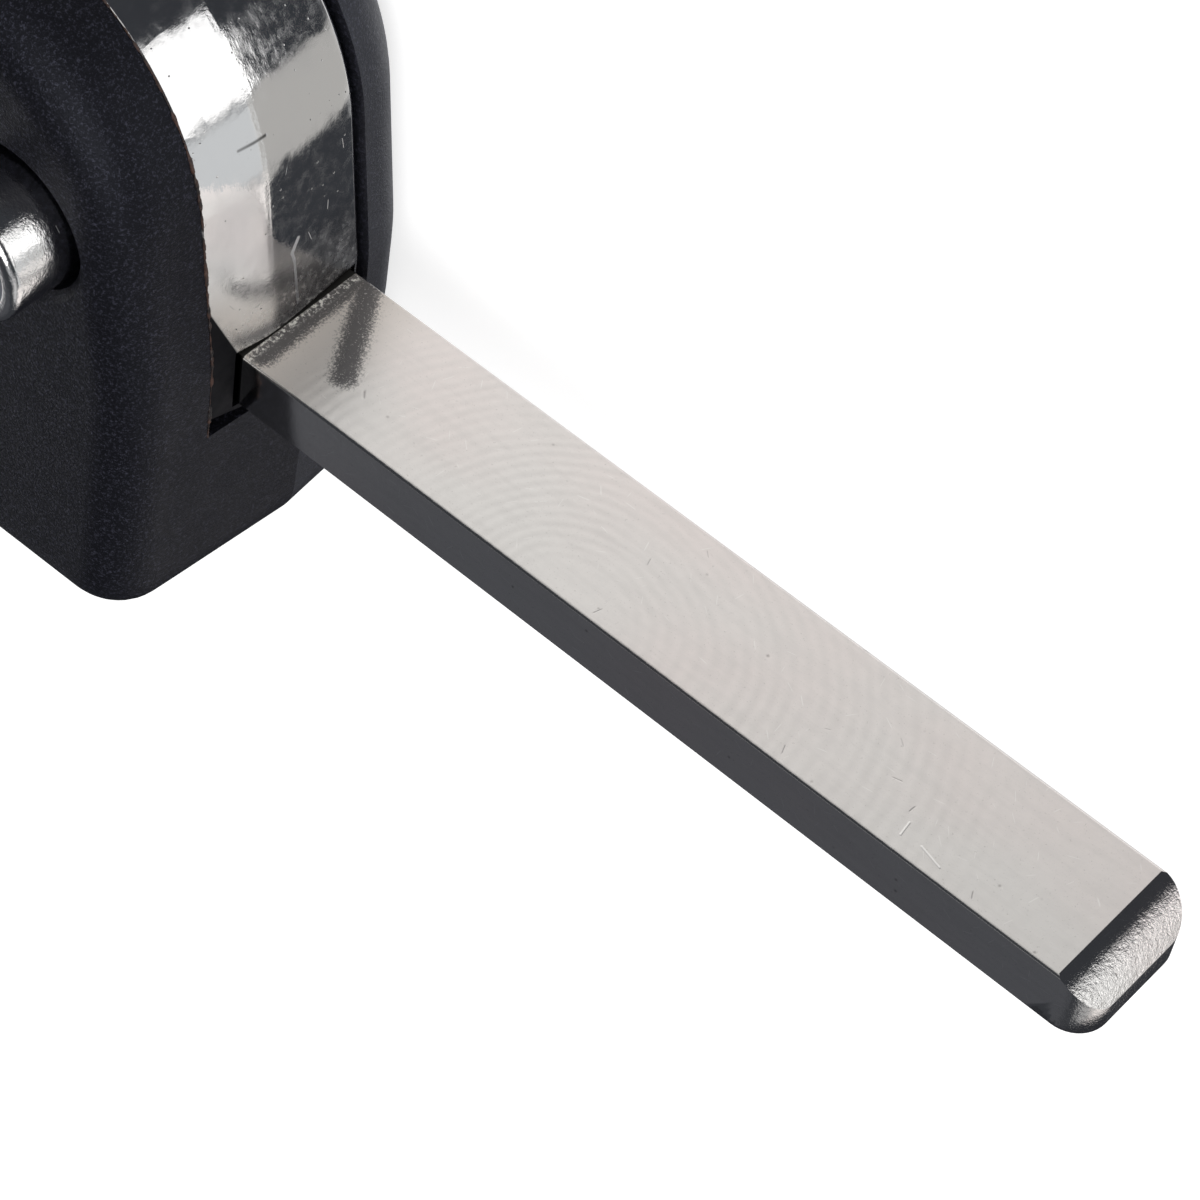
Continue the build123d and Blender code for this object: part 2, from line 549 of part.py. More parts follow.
def bent_strip(points, stake_x):
    """A strip of spring sheet bent along a path in X and Z, with the hole for its stake."""
    section = Plane.XZ.offset(-CELL_Y) * trace(Polyline(*points), STRIP_THICK)
    strip = extrude(section, STRIP_WIDTH / 2, both=True)
    return strip - rod(STAKE_R, 0, WALL + STRIP_THICK, stake_x, CELL_Y)


def battery_contact_minus():
    """The strip under the cell, with its tongue bent up."""
    stake_x = stake_places()[0]
    level = WALL + STRIP_THICK / 2
    end_x = stake_x + STRIP_FOOT
    points = ((stake_x - STRIP_WIDTH / 2, level), (end_x, level), (end_x + TONGUE_RUN, level + TONGUE_RISE))
    return bent_strip(points, stake_x)


def battery_contact_plus():
    """The strip that stands in the well's notch and bears on the cell's side."""
    stake_x = stake_places()[1]
    level = WALL + STRIP_THICK / 2
    lean_x = PLUS_X - CELL_WALL
    points = ((stake_x + STRIP_WIDTH / 2, level), (PLUS_X, level), (lean_x, WALL + CELL_DEPTH))
    return bent_strip(points, stake_x)


def shell_screws():
    """The two screws that close the case, sunk in the rear shell, with cross recesses."""
    screw = rod(SCREW_HEAD_R, SCREW_SINK, NECK_Z) + rod(SCREW_R, NECK_Z, SCREW_TIP_Z)
    for turn in (0, 90):
        slot = Box(SCREW_CROSS_LENGTH, SCREW_CROSS, 2 * SCREW_CROSS_DEPTH)
        screw -= Rot(0, 0, turn) * Pos(0, 0, SCREW_SINK) * slot
    return Compound(children=[Pos(x, y) * screw for x, y in SCREW_PLACES])


def build():
    """Every piece of the key, by name."""
    case = cut_case()
    pieces = {
        "front_shell": front_shell(case),
        "rear_shell": rear_shell(case),
        "flip_head": flip_head(),
        "key_blade": key_blade(),
        "blade_roll_pin": blade_roll_pin(),
        "release_button": release_button(),
        "release_button_disc": rod(DISC_R, DISC_BACK_Z, KNOB_TOP_Z - DISC_SINK),
        "lock_collar": lock_collar(),
        "stem_clip": stem_clip(),
        "spring_seat": spring_seat(),
        "flip_spring": flip_spring(),
        "key_mat": key_mat(),
        "battery_contact_minus": battery_contact_minus(),
        "battery_contact_plus": battery_contact_plus(),
        "shell_screws": shell_screws(),
    }
    for name, x in zip(KEY_NAMES, KEY_PLACES):
        pieces[name] = key_cap(x)
    return pieces


os.makedirs("parts", exist_ok=True)
for name, piece in build().items():
    export_step(piece, f"parts/{name}.step")
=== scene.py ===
from functools import partial, reduce
from math import cos, pi, radians, sin, sqrt

import bmesh
import bpy
from bpy.props import FloatProperty, FloatVectorProperty, PointerProperty
from bpy.types import Operator, Panel, PropertyGroup
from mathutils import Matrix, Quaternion, Vector


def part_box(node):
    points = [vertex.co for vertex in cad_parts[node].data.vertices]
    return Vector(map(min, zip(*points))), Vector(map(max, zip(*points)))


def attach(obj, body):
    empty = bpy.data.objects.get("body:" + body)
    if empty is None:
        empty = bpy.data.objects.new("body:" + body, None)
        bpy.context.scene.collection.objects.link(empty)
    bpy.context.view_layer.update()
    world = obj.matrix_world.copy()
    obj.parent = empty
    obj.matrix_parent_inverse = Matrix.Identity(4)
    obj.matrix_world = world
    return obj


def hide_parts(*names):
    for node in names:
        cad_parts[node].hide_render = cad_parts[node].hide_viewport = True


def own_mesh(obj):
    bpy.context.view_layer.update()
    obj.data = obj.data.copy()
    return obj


bl_info = {
    "name": "Flip Key Remote Shell",
    "version": (1, 0, 0),
    "blender": (4, 5, 0),
    "location": "View3D > Sidebar > Flip Key",
    "description": "Dresses a flip key shell: grained case, chrome head, milled blank and release button",
    "category": "Object",
}

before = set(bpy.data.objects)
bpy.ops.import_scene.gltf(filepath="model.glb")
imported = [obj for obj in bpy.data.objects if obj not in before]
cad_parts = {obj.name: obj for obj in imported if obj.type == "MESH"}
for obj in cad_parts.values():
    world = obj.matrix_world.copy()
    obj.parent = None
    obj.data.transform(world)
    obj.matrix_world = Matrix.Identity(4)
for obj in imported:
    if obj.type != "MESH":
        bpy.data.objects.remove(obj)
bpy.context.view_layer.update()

MM = 0.001
ORIGIN = (0.0, 0.0, 0.0)
HEAD_LOW, HEAD_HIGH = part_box("flip_head")
BLADE_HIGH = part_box("key_blade")[1]
KNOB_LOW, KNOB_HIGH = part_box("release_button")
DISC_LOW, DISC_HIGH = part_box("release_button_disc")
SPRING_LOW, SPRING_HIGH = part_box("flip_spring")
SCREWS_LOW, SCREWS_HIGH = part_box("shell_screws")

# How close points of a CAD mesh count as one, the turn in degrees below which its faces are one,
# how near a cut passes a point, and how much large faces weigh in the shading
WELD = 0.0005 * MM
FLAT_TURN = 0.3
CUT_SLACK = 1e-8
LEVEL_WEIGHT = 90
# How far a point may be off a level, and off the slope at the blade's tip
LEVEL_SLACK = 0.001 * MM
SLOPE_SLACK = 0.002 * MM
# How far a normal leans at least to face down or out, at most to be upright, and when two are one
FACES_DOWN, FACES_OUT, UPRIGHT, SAME_WAY = -0.9, 0.9, 0.5, 0.999

# Turn in degrees from which an edge is shaded sharp, piece by piece
CASE_SHARP, HEAD_SHARP, BLADE_SHARP = 28.0, 32.0, 50.0
TURNED_SHARP, COIL_SHARP, BEAD_SHARP = 30.0, 60.0, 50.0

# Head: its ridge and the fall of the crown to the front and to the back
HEAD_FRONT_Z = HEAD_LOW.z + 8.5 * MM
RIDGE_Z = HEAD_FRONT_Z - 3.1 * MM
FRONT_FALL = 0.45 * MM
BACK_FALL = 0.35 * MM
# How far a side's normal leans to the back, and how far a normal may be off a lean
BACK_LEAN = 0.065
LEAN_SLACK = 0.02
LIFT_BAND = 0.5 * MM
# Rows cut into the crown: turns of its rims in degrees, and steps from the ridge
RIM_TURNS = (15, 30, 45, 60, 75, 90)
RIDGE_STEPS = (0.12, 0.25, 0.45, 0.75, 1.2, 1.7, 2.2)
BACK_STEPS = (2.8, 3.4, 4.0, 4.6)

# Blade's tip: length and drop of its slope, rows across it, and the least lean of its normal
TIP_RUN = 1.9 * MM
TIP_DROP = 1.5 * MM
TIP_ROWS = 9
SLOPE_LEAN = 0.2

# Knob and stem
COLLAR_TOP_Z = HEAD_HIGH.z + 1.3 * MM
KNOB_EDGE_R = 0.45 * MM
KNOB_FOOT_R = 0.08 * MM
DISC_MOUTH_R = 0.1 * MM
DISC_EDGE_R = 0.06 * MM
STEM_R = 1.5 * MM
STEM_CHAMFER = 0.05 * MM
CLIP_GROOVE = 0.3 * MM
CLIP_THICK = 0.4 * MM
STEM_TAIL = 0.2 * MM
TURNED_STEPS = 192
TURNED_WELD = 1e-7

# Spring, screws and flash
SPRING_WIRE = 0.6 * MM
SPRING_TURNS = 6.0
DEAD_TURNS = 1.0
SCREW_HEAD_R = 1.5 * MM
SCREW_HEAD_THICK = 1.0 * MM
SCREW_CORE_R = 0.58 * MM
SCREW_SIDES = 40
THREAD_HEIGHT = 0.2 * MM
THREAD_END = 0.2 * MM
THREAD_STEPS = 24
COIL_STEPS = 40
COIL_SIDES, THREAD_SIDES, BEAD_SIDES = 12, 3, 7
# A screw's head tapers, its shank and its thread start, in shares of the head's thickness
HEAD_TAPER, SHANK_START, THREAD_START = -0.2, 0.8, 1.4
# Its point's length and the radius of its end, in shares of the core's radius
TIP_LENGTH, TIP_END = 1.6, 0.3
# The two cuts of a screw's cross recess: its long and its narrow side, and twice its depth
CROSS_CUTS = (("Cross length", "Cross width", 2.0), ("Cross width", "Cross length", 1.8))
SLOT_FRONT_Z = HEAD_FRONT_Z + 0.3 * MM
FLASH_START_X = -4.2 * MM
FLASH_POINTS = 420
FLASH_SEED = 3.0

# Marks seen in the photograph, as start, end, half width and, on the head, whether it shines
HEAD_MARKS = (
    ((0.00580, 0.00379, 0.01013), (0.00591, 0.00379, 0.00942), 0.00013, False),
    ((0.00591, 0.00379, 0.00942), (0.00596, 0.00380, 0.00876), 0.00013, False),
    ((0.00691, -0.00226, 0.00742), (0.00700, -0.00277, 0.00782), 0.00016, True),
    ((0.00700, -0.00277, 0.00782), (0.00706, -0.00330, 0.00770), 0.00012, True),
    ((0.00706, -0.00330, 0.00770), (0.00735, -0.00560, 0.00762), 0.00011, True),
)
BLADE_MARKS = (
    ((0.04192, -0.0063, 0.00995), (0.0430, -0.0063, 0.01022), 0.00007),
    ((0.04091, -0.0063, 0.00941), (0.04101, -0.0063, 0.01009), 0.00007),
)
# Bands of painted dark reflection near the blade's root, as start, end, half width and depth of tone
ROOT_REFLECTION_BANDS = (
    ((0.0084, -0.0063, 0.0044), (0.0110, -0.0063, 0.0087), 0.0011, 0.85),
    ((0.0078, -0.0063, 0.0046), (0.0080, -0.0063, 0.0103), 0.0010, 0.85),
)
# Where the warm tint at the blade's root ends
ROOT_END = 12.6 * MM
# The cutter's arcs: their centre, where they fade out and in, how much they are drawn in past the
# centre, and how far they wander
ARC_CENTRE = (0.0248, 0.0, 0.0110)
ARC_FADE = (0.0105, 0.0185)
ARC_START = (0.0012, 0.003)
ARC_SQUEEZE = -0.22
ARC_WANDER = 0.0006
# The band along the head's ridge that is more crinkled, and how much more
RIDGE_BAND, RIDGE_CRINKLE = 0.6 * MM, 1.6
# Where painted shade darkens the head's foot, below the blade: a point of the line, its fall, its soft
# edge and the reach in x over which it fades in, and the reach in y over which the foot's side turns duller
FOOT_LINE = (-0.0046, 0.01159)
FOOT_FALL = 2.33
FOOT_EDGE = 0.22 * MM
FOOT_REACH = (0.0045, 0.006)
FOOT_SIDE = (-0.0015, -0.0055)

# Camera: found from the corners of the blade and the rims of the button
CAMERA_PLACE = Vector((81.913, 123.645, 97.424)) * MM
CAMERA_LOOK = Vector((-0.33759, -0.78051, -0.52614))
CAMERA_ROLL = radians(-130.08)
CAMERA_LENS = 128.4
CAMERA_SENSOR = 36.0
CAMERA_NEAR = 0.01

# Studio
FLOOR_HALF = 1.5
FLOOR_ROWS = 8
FLOOR_GLOW = 0.72
KEY_LIGHT_PLACE = Vector((220, 110, 350)) * MM
KEY_LIGHT_SIZE = 0.3
# The cards' sizes in degrees; then come strength and colour
CARD_SIZES = ("Azimuth", "Elevation", "Half width", "Half height", "Edge")
STUDIO_CARDS = (
    (25, -14.5, 20, 15, 2, 1.30, (1.0, 1.0, 1.0)),
    (18, -33, 14, 3.2, 1.5, 1.70, (1.0, 1.0, 1.0)),
    (-15, -15, 18, 13, 3, 0.66, (0.95, 0.98, 1.0)),
    (-19, -39, 22, 12, 2.5, 0.45, (1.0, 0.98, 0.94)),
    (-50, -12, 15, 17, 4, 1.02, (1.0, 0.95, 0.92)),
    (128, -36, 34, 24, 12, 0.80, (1.0, 0.98, 0.955)),
    (136, -36, 20, 24, 13, 0.20, (1.0, 0.98, 0.955)),
    (112, 54, 26, 16, 8, 0.75, (1.0, 1.0, 1.0)),
    (0, 50, 34, 16, 12, 0.40, (0.95, 0.97, 1.0)),
    (0, -72, 200, 20, 7, 0.80, (1.0, 1.0, 1.0)),
    (-62, -52, 26, 9, 3, 0.35, (1.0, 1.0, 1.0)),
    (205, 0, 30, 26, 10, 0.90, (1.0, 1.0, 1.0)),
    (-112, 32, 26, 14, 8, 0.036, (1.0, 1.0, 1.1)),
    (-120, -48, 26, 9, 6, 0.45, (0.97, 0.98, 1.0)),
    (72, 26, 22, 13, 8, 0.80, (1.0, 0.99, 0.97)),
    (-40, 22, 22, 12, 8, 0.55, (1.0, 1.0, 1.0)),
)
STUDIO_BASE = (0.040, 0.043, 0.050)
STUDIO_FILL = 0.55

# Colours that lie over a finish, or under it
SPECULAR_TINT = (0.8, 0.84, 1.0, 1.0)
CHROME_PALE = (0.82, 0.81, 0.80)
CHROME_GREY = (0.75, 0.745, 0.745)
CHROME_PIT = (0.05, 0.048, 0.046)
# Painted shade at the head's foot, in the recess below the blade
FOOT_SHADE = (0.016, 0.016, 0.019)
FOOT_STAIN = (0.29, 0.29, 0.3)
NICKEL_MOTTLE = (0.6, 0.59, 0.58)
NICKEL_PIT = (0.2, 0.18, 0.17)
NICKEL_STREAK = (0.5, 0.49, 0.48)
NICKEL_SCRATCH = (0.35, 0.34, 0.33)
NICKEL_STROKE = (0.97, 0.96, 0.94)
NICKEL_ARC = (0.62, 0.61, 0.59)
ROOT_WARM = (0.84, 0.77, 0.7)
# Painted reflection and glints at the blade's root, and painted shade where it meets the head
ROOT_REFLECTION_DARK = (0.045, 0.046, 0.054)
ROOT_REFLECTION_GLINT = (0.75, 0.72, 0.68)
PAINTED_ROOT_GLINT = (1.0, 0.97, 0.9)
GAP_SHADE = (0.02, 0.019, 0.017)
NICKEL_MARK = (0.95, 0.94, 0.92)
DISC_BLUES = ((0.30, 0.32, 0.36), (0.36, 0.375, 0.41))
FLASH_BROWNS = ((0.012, 0.009, 0.009), (0.075, 0.036, 0.026))
FLOOR_GREYS = ((0.60, 0.60, 0.60), (0.62, 0.62, 0.62))
RUBBER_GREYS = ((0.06, 0.06, 0.065), (0.1, 0.1, 0.105))
WHITE = (1, 1, 1, 1)


# Pieces

def add_object(name, data):
    """Puts an object in the scene."""
    piece = bpy.data.objects.new(name, data)
    bpy.context.scene.collection.objects.link(piece)
    return piece


def plain_mesh(piece, name):
    """The mesh that a piece's modifiers make; the piece itself goes."""
    graph = bpy.context.evaluated_depsgraph_get()
    mesh = bpy.data.meshes.new_from_object(piece.evaluated_get(graph), depsgraph=graph)
    bpy.data.objects.remove(piece)
    mesh.name = name
    return mesh


def shade_round(mesh, sharp):
    """Smooth shading, with edges kept sharp from an angle in degrees."""
    mesh.shade_smooth()
    mesh.set_sharp_from_angle(angle=radians(sharp))


def cut_rows(shape, planes):
    """Cuts a shape by several planes, each given by a point and its normal."""
    for point, normal in planes:
        geometry = shape.verts[:] + shape.edges[:] + shape.faces[:]
        bmesh.ops.bisect_plane(shape, geom=geometry, dist=CUT_SLACK, plane_co=point, plane_no=normal)


def smooth_copy(node, name, finish, slot, body, sharp, prepare=None, keep_sharp=None):
    """A merged, smoothly shaded copy of a CAD node, which it stands for."""
    mesh = bpy.data.meshes.new(name)
    shape = bmesh.new()
    shape.from_mesh(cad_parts[node].data)
    bmesh.ops.remove_doubles(shape, verts=shape.verts, dist=WELD)
    bmesh.ops.dissolve_limit(shape, angle_limit=radians(FLAT_TURN), verts=shape.verts, edges=shape.edges)
    if prepare:
        prepare(shape)
    shape.to_mesh(mesh)
    shape.free()
    mesh.materials.clear()
    if "custom_normal" in mesh.attributes:
        mesh.attributes.remove(mesh.attributes["custom_normal"])
    shade_round(mesh, sharp)
    if keep_sharp:
        keep_sharp(mesh)
    return settle(level_normals(mesh), name, finish, slot, body, node)


def level_normals(mesh):
    """The mesh with large flat faces shaded flat and the small ones beside them shaded round."""
    piece = add_object("levelled", mesh)
    levelled = piece.modifiers.new("Level", "WEIGHTED_NORMAL")
    levelled.keep_sharp = True
    levelled.weight = LEVEL_WEIGHT
    return plain_mesh(piece, mesh.name)


def settle(mesh, name, finish, slot, body, *nodes):
    """Puts a finished mesh in the scene with its finish, on its body, in place of its CAD nodes."""
    mesh.materials.append(MATERIALS[finish])
    piece = add_object(name, mesh)
    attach(piece, body)
    if nodes:
        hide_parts(*nodes)
    return piece


# Node recipes

SOCKET_KINDS = {float: "NodeSocketFloat", int: "NodeSocketInt", tuple: "NodeSocketVector"}
# The Mix node's sockets for colours, by number
MIX_SHARE, MIX_FIRST, MIX_SECOND, MIX_RESULT = 0, 6, 7, 2
GROUPS = {}
MATERIALS = {}


class Pattern:
    """A node's output. A sum on it adds the node that works it out."""

    def __init__(self, socket):
        self.socket = socket
        self.tree = socket.id_data

    def also(self, name):
        """Another output of the same node."""
        return Pattern(self.socket.node.outputs[name])

    def parts(self):
        """The x, y and z of a vector."""
        x = step(self.tree, "ShaderNodeSeparateXYZ", {0: self})
        return x, x.also("Y"), x.also("Z")

    def calc(self, operation, *others, out=0, **settings):
        """One sum, on vectors as soon as one takes part."""
        values = (self, *others)
        kind = "ShaderNodeVectorMath" if any(map(is_vector, values)) else "ShaderNodeMath"
        return step(self.tree, kind, dict(enumerate(values)), out, operation=operation, **settings)

    def dot(self, other):
        """How far two vectors point the same way."""
        return self.calc("DOT_PRODUCT", other, out="Value")

    def length(self):
        """A vector's length."""
        return self.calc("LENGTH", out="Value")

    def __add__(self, other):
        return self.calc("ADD", other)

    def __sub__(self, other):
        return self.calc("SUBTRACT", other)

    def __mul__(self, other):
        return self.calc("MULTIPLY", other)

    def __truediv__(self, other):
        return self.calc("DIVIDE", other)

    def __abs__(self):
        return self.calc("ABSOLUTE")


def is_vector(value):
    """Whether a value is a vector, a plain one or a node's."""
    return value.socket.type == "VECTOR" if isinstance(value, Pattern) else isinstance(value, tuple)


def fill(node, inputs):
    """Feeds a node's inputs with plain values or other nodes' outputs."""
    for key, value in dict(inputs).items():
        if isinstance(value, Pattern):
            value.tree.links.new(value.socket, node.inputs[key])
        else:
            node.inputs[key].default_value = value


def step(tree, kind, inputs=(), out=0, **settings):
    """Adds a node, sets it, feeds its inputs and gives one of its outputs."""
    node = tree.nodes.new(kind)
    for key, value in settings.items():
        setattr(node, key, value)
    fill(node, inputs)
    return Pattern(node.outputs[out])


def combine(*parts):
    """A vector from three numbers, at least one of them a pattern."""
    tree = next(part.tree for part in parts if isinstance(part, Pattern))
    return step(tree, "ShaderNodeCombineXYZ", dict(enumerate(parts)))


def ramp(value, low, high, to_low=0.0, to_high=1.0):
    """A smooth step of a value between two levels."""
    inputs = {"Value": value, "From Min": low, "From Max": high, "To Min": to_low, "To Max": to_high}
    return step(value.tree, "ShaderNodeMapRange", inputs, interpolation_type="SMOOTHSTEP")


def noise(place, scale, detail=2.0, rough=0.5):
    """Noise in the piece's own space, from its cells in a metre, its detail and its roughness."""
    inputs = {"Vector": place, "Scale": scale, "Detail": detail, "Roughness": rough}
    return step(place.tree, "ShaderNodeTexNoise", inputs)


def strongest(masks):
    """The strongest of several masks at each point."""
    return reduce(lambda one, other: one.calc("MAXIMUM", other), masks)


def blend(share, first, second):
    """A mix of two colours."""
    first, second = (c if isinstance(c, Pattern) else (*c, 1.0) for c in (first, second))
    inputs = {MIX_SHARE: share, MIX_FIRST: first, MIX_SECOND: second}
    return step(share.tree, "ShaderNodeMix", inputs, MIX_RESULT, data_type="RGBA")


def layered(tone, *layers):
    """A colour with others laid over it, each by its own share."""
    for share, colour in layers:
        tone = blend(share, tone, colour)
    return tone


def bump(height, depth):
    """Relief from a height of 0 to 1 and its depth."""
    return step(height.tree, "ShaderNodeBump", {"Height": height, "Distance": depth})


def named_inputs(tree, defaults):
    """Gives a tree its named inputs, each with a default or its kind, and returns what they bring."""
    for label, default in defaults.items():
        kind = default if isinstance(default, str) else SOCKET_KINDS[type(default)]
        socket = tree.interface.new_socket(label, in_out="INPUT", socket_type=kind)
        if kind != default:
            socket.default_value = default
    given = tree.nodes.new("NodeGroupInput").outputs
    return {socket.name: Pattern(socket) for socket in given if socket.name}


# Effects that several materials share

def shader_group(key, name, build, inputs):
    """Builds a shared effect and keeps it by its key."""
    tree = bpy.data.node_groups.new(name, "ShaderNodeTree")
    values = build(named_inputs(tree, inputs))
    result = tree.nodes.new("NodeGroupOutput")
    for label, value in values.items():
        tree.interface.new_socket(label, in_out="OUTPUT", socket_type="NodeSocketFloat")
        tree.links.new(value.socket, result.inputs[label])
    GROUPS[key] = tree


def use(key, place, **values):
    """Places a shared effect: its first input takes the place, the others these values."""
    node = place.tree.nodes.new("ShaderNodeGroup")
    node.node_tree = GROUPS[key]
    fill(node, {0: place, **values})
    return Pattern(node.outputs[0])


def use_mark(place, start, end, width):
    """Places one mark."""
    return use("mark", place, Start=start, End=end, Width=width)


def build_grain(given):
    """Moulded grain: rounded cells broken up by finer noise."""
    place, scale = given["Place"], given["Scale"]
    fine = noise(place, scale * 2.3, 1.0)
    coarse = noise(place, scale, 2.0, 0.6)
    broad = noise(place, scale * 0.08)
    return {"Height": fine * 0.5 + coarse * 0.7, "Patches": ramp(broad, 0.35, 0.7)}


def build_pits(given):
    """Scattered round pits, few and small."""
    place, scale = given["Place"], given["Scale"]
    cells = step(place.tree, "ShaderNodeTexVoronoi", {"Vector": place, "Scale": scale}, "Distance")
    kept = noise(place, scale * 0.45, 0.0)
    return {"Mask": ramp(cells, given["Size"], 0.0) * ramp(kept, 0.56, 0.62)}


def build_scratches(given):
    """Short straight scratches, one to a cell, each turned its own way."""
    place, scale = given["Place"], given["Scale"]
    cell = step(place.tree, "ShaderNodeTexVoronoi", {"Vector": place, "Scale": scale})
    lot = cell.also("Color")
    away = place - cell.also("Position")
    turn = (lot - (0.5, 0.5, 0.5)).calc("NORMALIZE")
    length = given["Length"] / scale
    line = ramp(abs(away.dot(turn)), given["Width"], 0.0)
    ends = ramp(away.length(), length, length * 0.6)
    kept = lot.parts()[2].calc("LESS_THAN", given["Share"])
    return {"Mask": line * ends * kept}


def build_mark(given):
    """One straight scratch or dent between two points."""
    along = given["End"] - given["Start"]
    away = given["Place"] - given["Start"]
    share = away.dot(along).calc("DIVIDE", along.dot(along), use_clamp=True)
    nearest = step(along.tree, "ShaderNodeVectorMath", {0: along, "Scale": share}, operation="SCALE")
    return {"Mask": ramp((away - nearest).length(), given["Width"], 0.0)}


def build_card(given):
    """How far a direction lies on one white card."""
    x, y, z = given["Direction"].parts()
    turn = y.calc("ARCTAN2", x).calc("DEGREES")
    rise = z.calc("ARCSINE").calc("DEGREES")
    aside = (turn - given["Azimuth"]).calc("WRAP", 180.0, -180.0)
    above = rise - given["Elevation"]
    across = ramp(abs(aside), given["Half width"] + given["Edge"], given["Half width"] - given["Edge"])
    upright = ramp(abs(above), given["Half height"] + given["Edge"], given["Half height"] - given["Edge"])
    return {"Mask": across * upright}


def make_groups():
    """The shared effects, with the values that they have unless a material gives its own."""
    shader_group("grain", "Moulded grain", build_grain, {"Place": ORIGIN, "Scale": 5000.0})
    shader_group("pits", "Fine pits", build_pits, {"Place": ORIGIN, "Scale": 900.0, "Size": 0.12})
    stroke = {"Place": ORIGIN, "Scale": 800.0, "Length": 0.5, "Width": 0.02 * MM, "Share": 0.5}
    shader_group("scratches", "Fine scratches", build_scratches, stroke)
    mark = {"Place": ORIGIN, "Start": ORIGIN, "End": (1.0, 0.0, 0.0), "Width": 0.1 * MM}
    shader_group("mark", "Single mark", build_mark, mark)
    card = {"Direction": ORIGIN, **dict.fromkeys(CARD_SIZES, 10.0)}
    shader_group("card", "Studio card", build_card, card)


# Finishes

def new_material(name, **values):
    """A material, its one shader and the place on the piece; values go on the shader's own sockets."""
    material = bpy.data.materials.new(name)
    material.use_nodes = True
    tree = material.node_tree
    tree.nodes.clear()
    shader = tree.nodes.new("ShaderNodeBsdfPrincipled")
    output = tree.nodes.new("ShaderNodeOutputMaterial")
    tree.links.new(shader.outputs[0], output.inputs["Surface"])
    feed(shader, **values)
    return material, shader, step(tree, "ShaderNodeTexCoord", out="Object")


def feed(shader, **values):
    """Sets the shader's sockets, or joins patterns to them."""
    fill(shader, {label.replace("_", " "): value for label, value in values.items()})


def moulded_plastic(name, dark, light, scale, depth, rough, gloss=0.2):
    """Matt moulded plastic with a fine grain; a painted highlight lightens the grain's peaks."""
    material, shader, place = new_material(name, Specular_IOR_Level=gloss, Specular_Tint=SPECULAR_TINT)
    height = use("grain", place, Scale=scale)
    # Grain peaks: painted lighter as a painted highlight, and made smoother
    highlit_peaks = ramp(height, 0.58, 0.86)
    roughness = highlit_peaks * -0.12 + ramp(height.also("Patches"), 0.0, 1.0, rough - 0.02, rough + 0.03)
    feed(shader, Base_Color=blend(highlit_peaks, dark, light), Roughness=roughness, Normal=bump(height, depth))
    return material


def chrome_plate(name, settings, crinkle, crinkle_scale, marks=(), foot=False):
    """Bright plating over a casting: orange peel, fine crinkles, haze, pits, scratches and single marks;
    on the head also painted shade at its foot.
    """
    material, shader, place = new_material(name, Metallic=1.0)
    x, y, z = place.parts()
    peel = noise(place, 620.0, 2.0, 0.55)
    fine = noise(place, crinkle_scale, 3.0, 0.68)
    lines = noise(place * (1.0, 1.0, 5.0), 900.0, 3.0, 0.6)
    scratches = use("scratches", place, Scale=900.0, Length=0.3, Width=0.014 * MM, Share=0.14)
    dents, shines = [use("pits", place, Scale=2600.0, Size=0.15)], []
    for start, end, width, shiny in marks:
        (shines if shiny else dents).append(use_mark(place, start, end, width))
    dark = strongest(dents)
    if foot:
        ridge = ramp(abs(z - RIDGE_Z), RIDGE_BAND, 0.0)
        crinkle = ridge * (RIDGE_CRINKLE * crinkle) + crinkle
    height = peel + lines * 0.25 + fine * crinkle + dark * -0.9 + scratches * -0.4
    cloud = ramp(noise(place, 240.0), 0.4, 0.65)
    haze = ramp(noise(place, 1500.0, 4.0, 0.75), 0.36, 0.7)
    tone = layered(blend(cloud, CHROME_PALE, CHROME_GREY), (dark, CHROME_PIT))
    roughness = strongest([haze * 0.45, dark, scratches]) * 0.22 + settings.chrome_roughness
    if shines:
        roughness = roughness + strongest(shines) * 0.7
    if foot:
        # Painted shade: the head's foot in the recess below the blade turns near black
        level = (z - FOOT_LINE[1]) * FOOT_FALL + FOOT_LINE[0]
        foot_shade = ramp(y - level, 0.0, -FOOT_EDGE) * ramp(x, *FOOT_REACH)
        foot_side = ramp(y, *FOOT_SIDE)
        behind = ramp(z, RIDGE_Z + 0.2 * MM, RIDGE_Z - 0.4 * MM)
        stain = foot_side * behind * ramp(fine, 0.7, 0.52)
        tone = layered(tone, (foot_shade, FOOT_SHADE), (stain, FOOT_STAIN))
        roughness = roughness + foot_shade * 0.3 + foot_side * 0.16
    feed(shader, Base_Color=tone, Roughness=roughness, Normal=bump(height, settings.peel_depth))
    return material


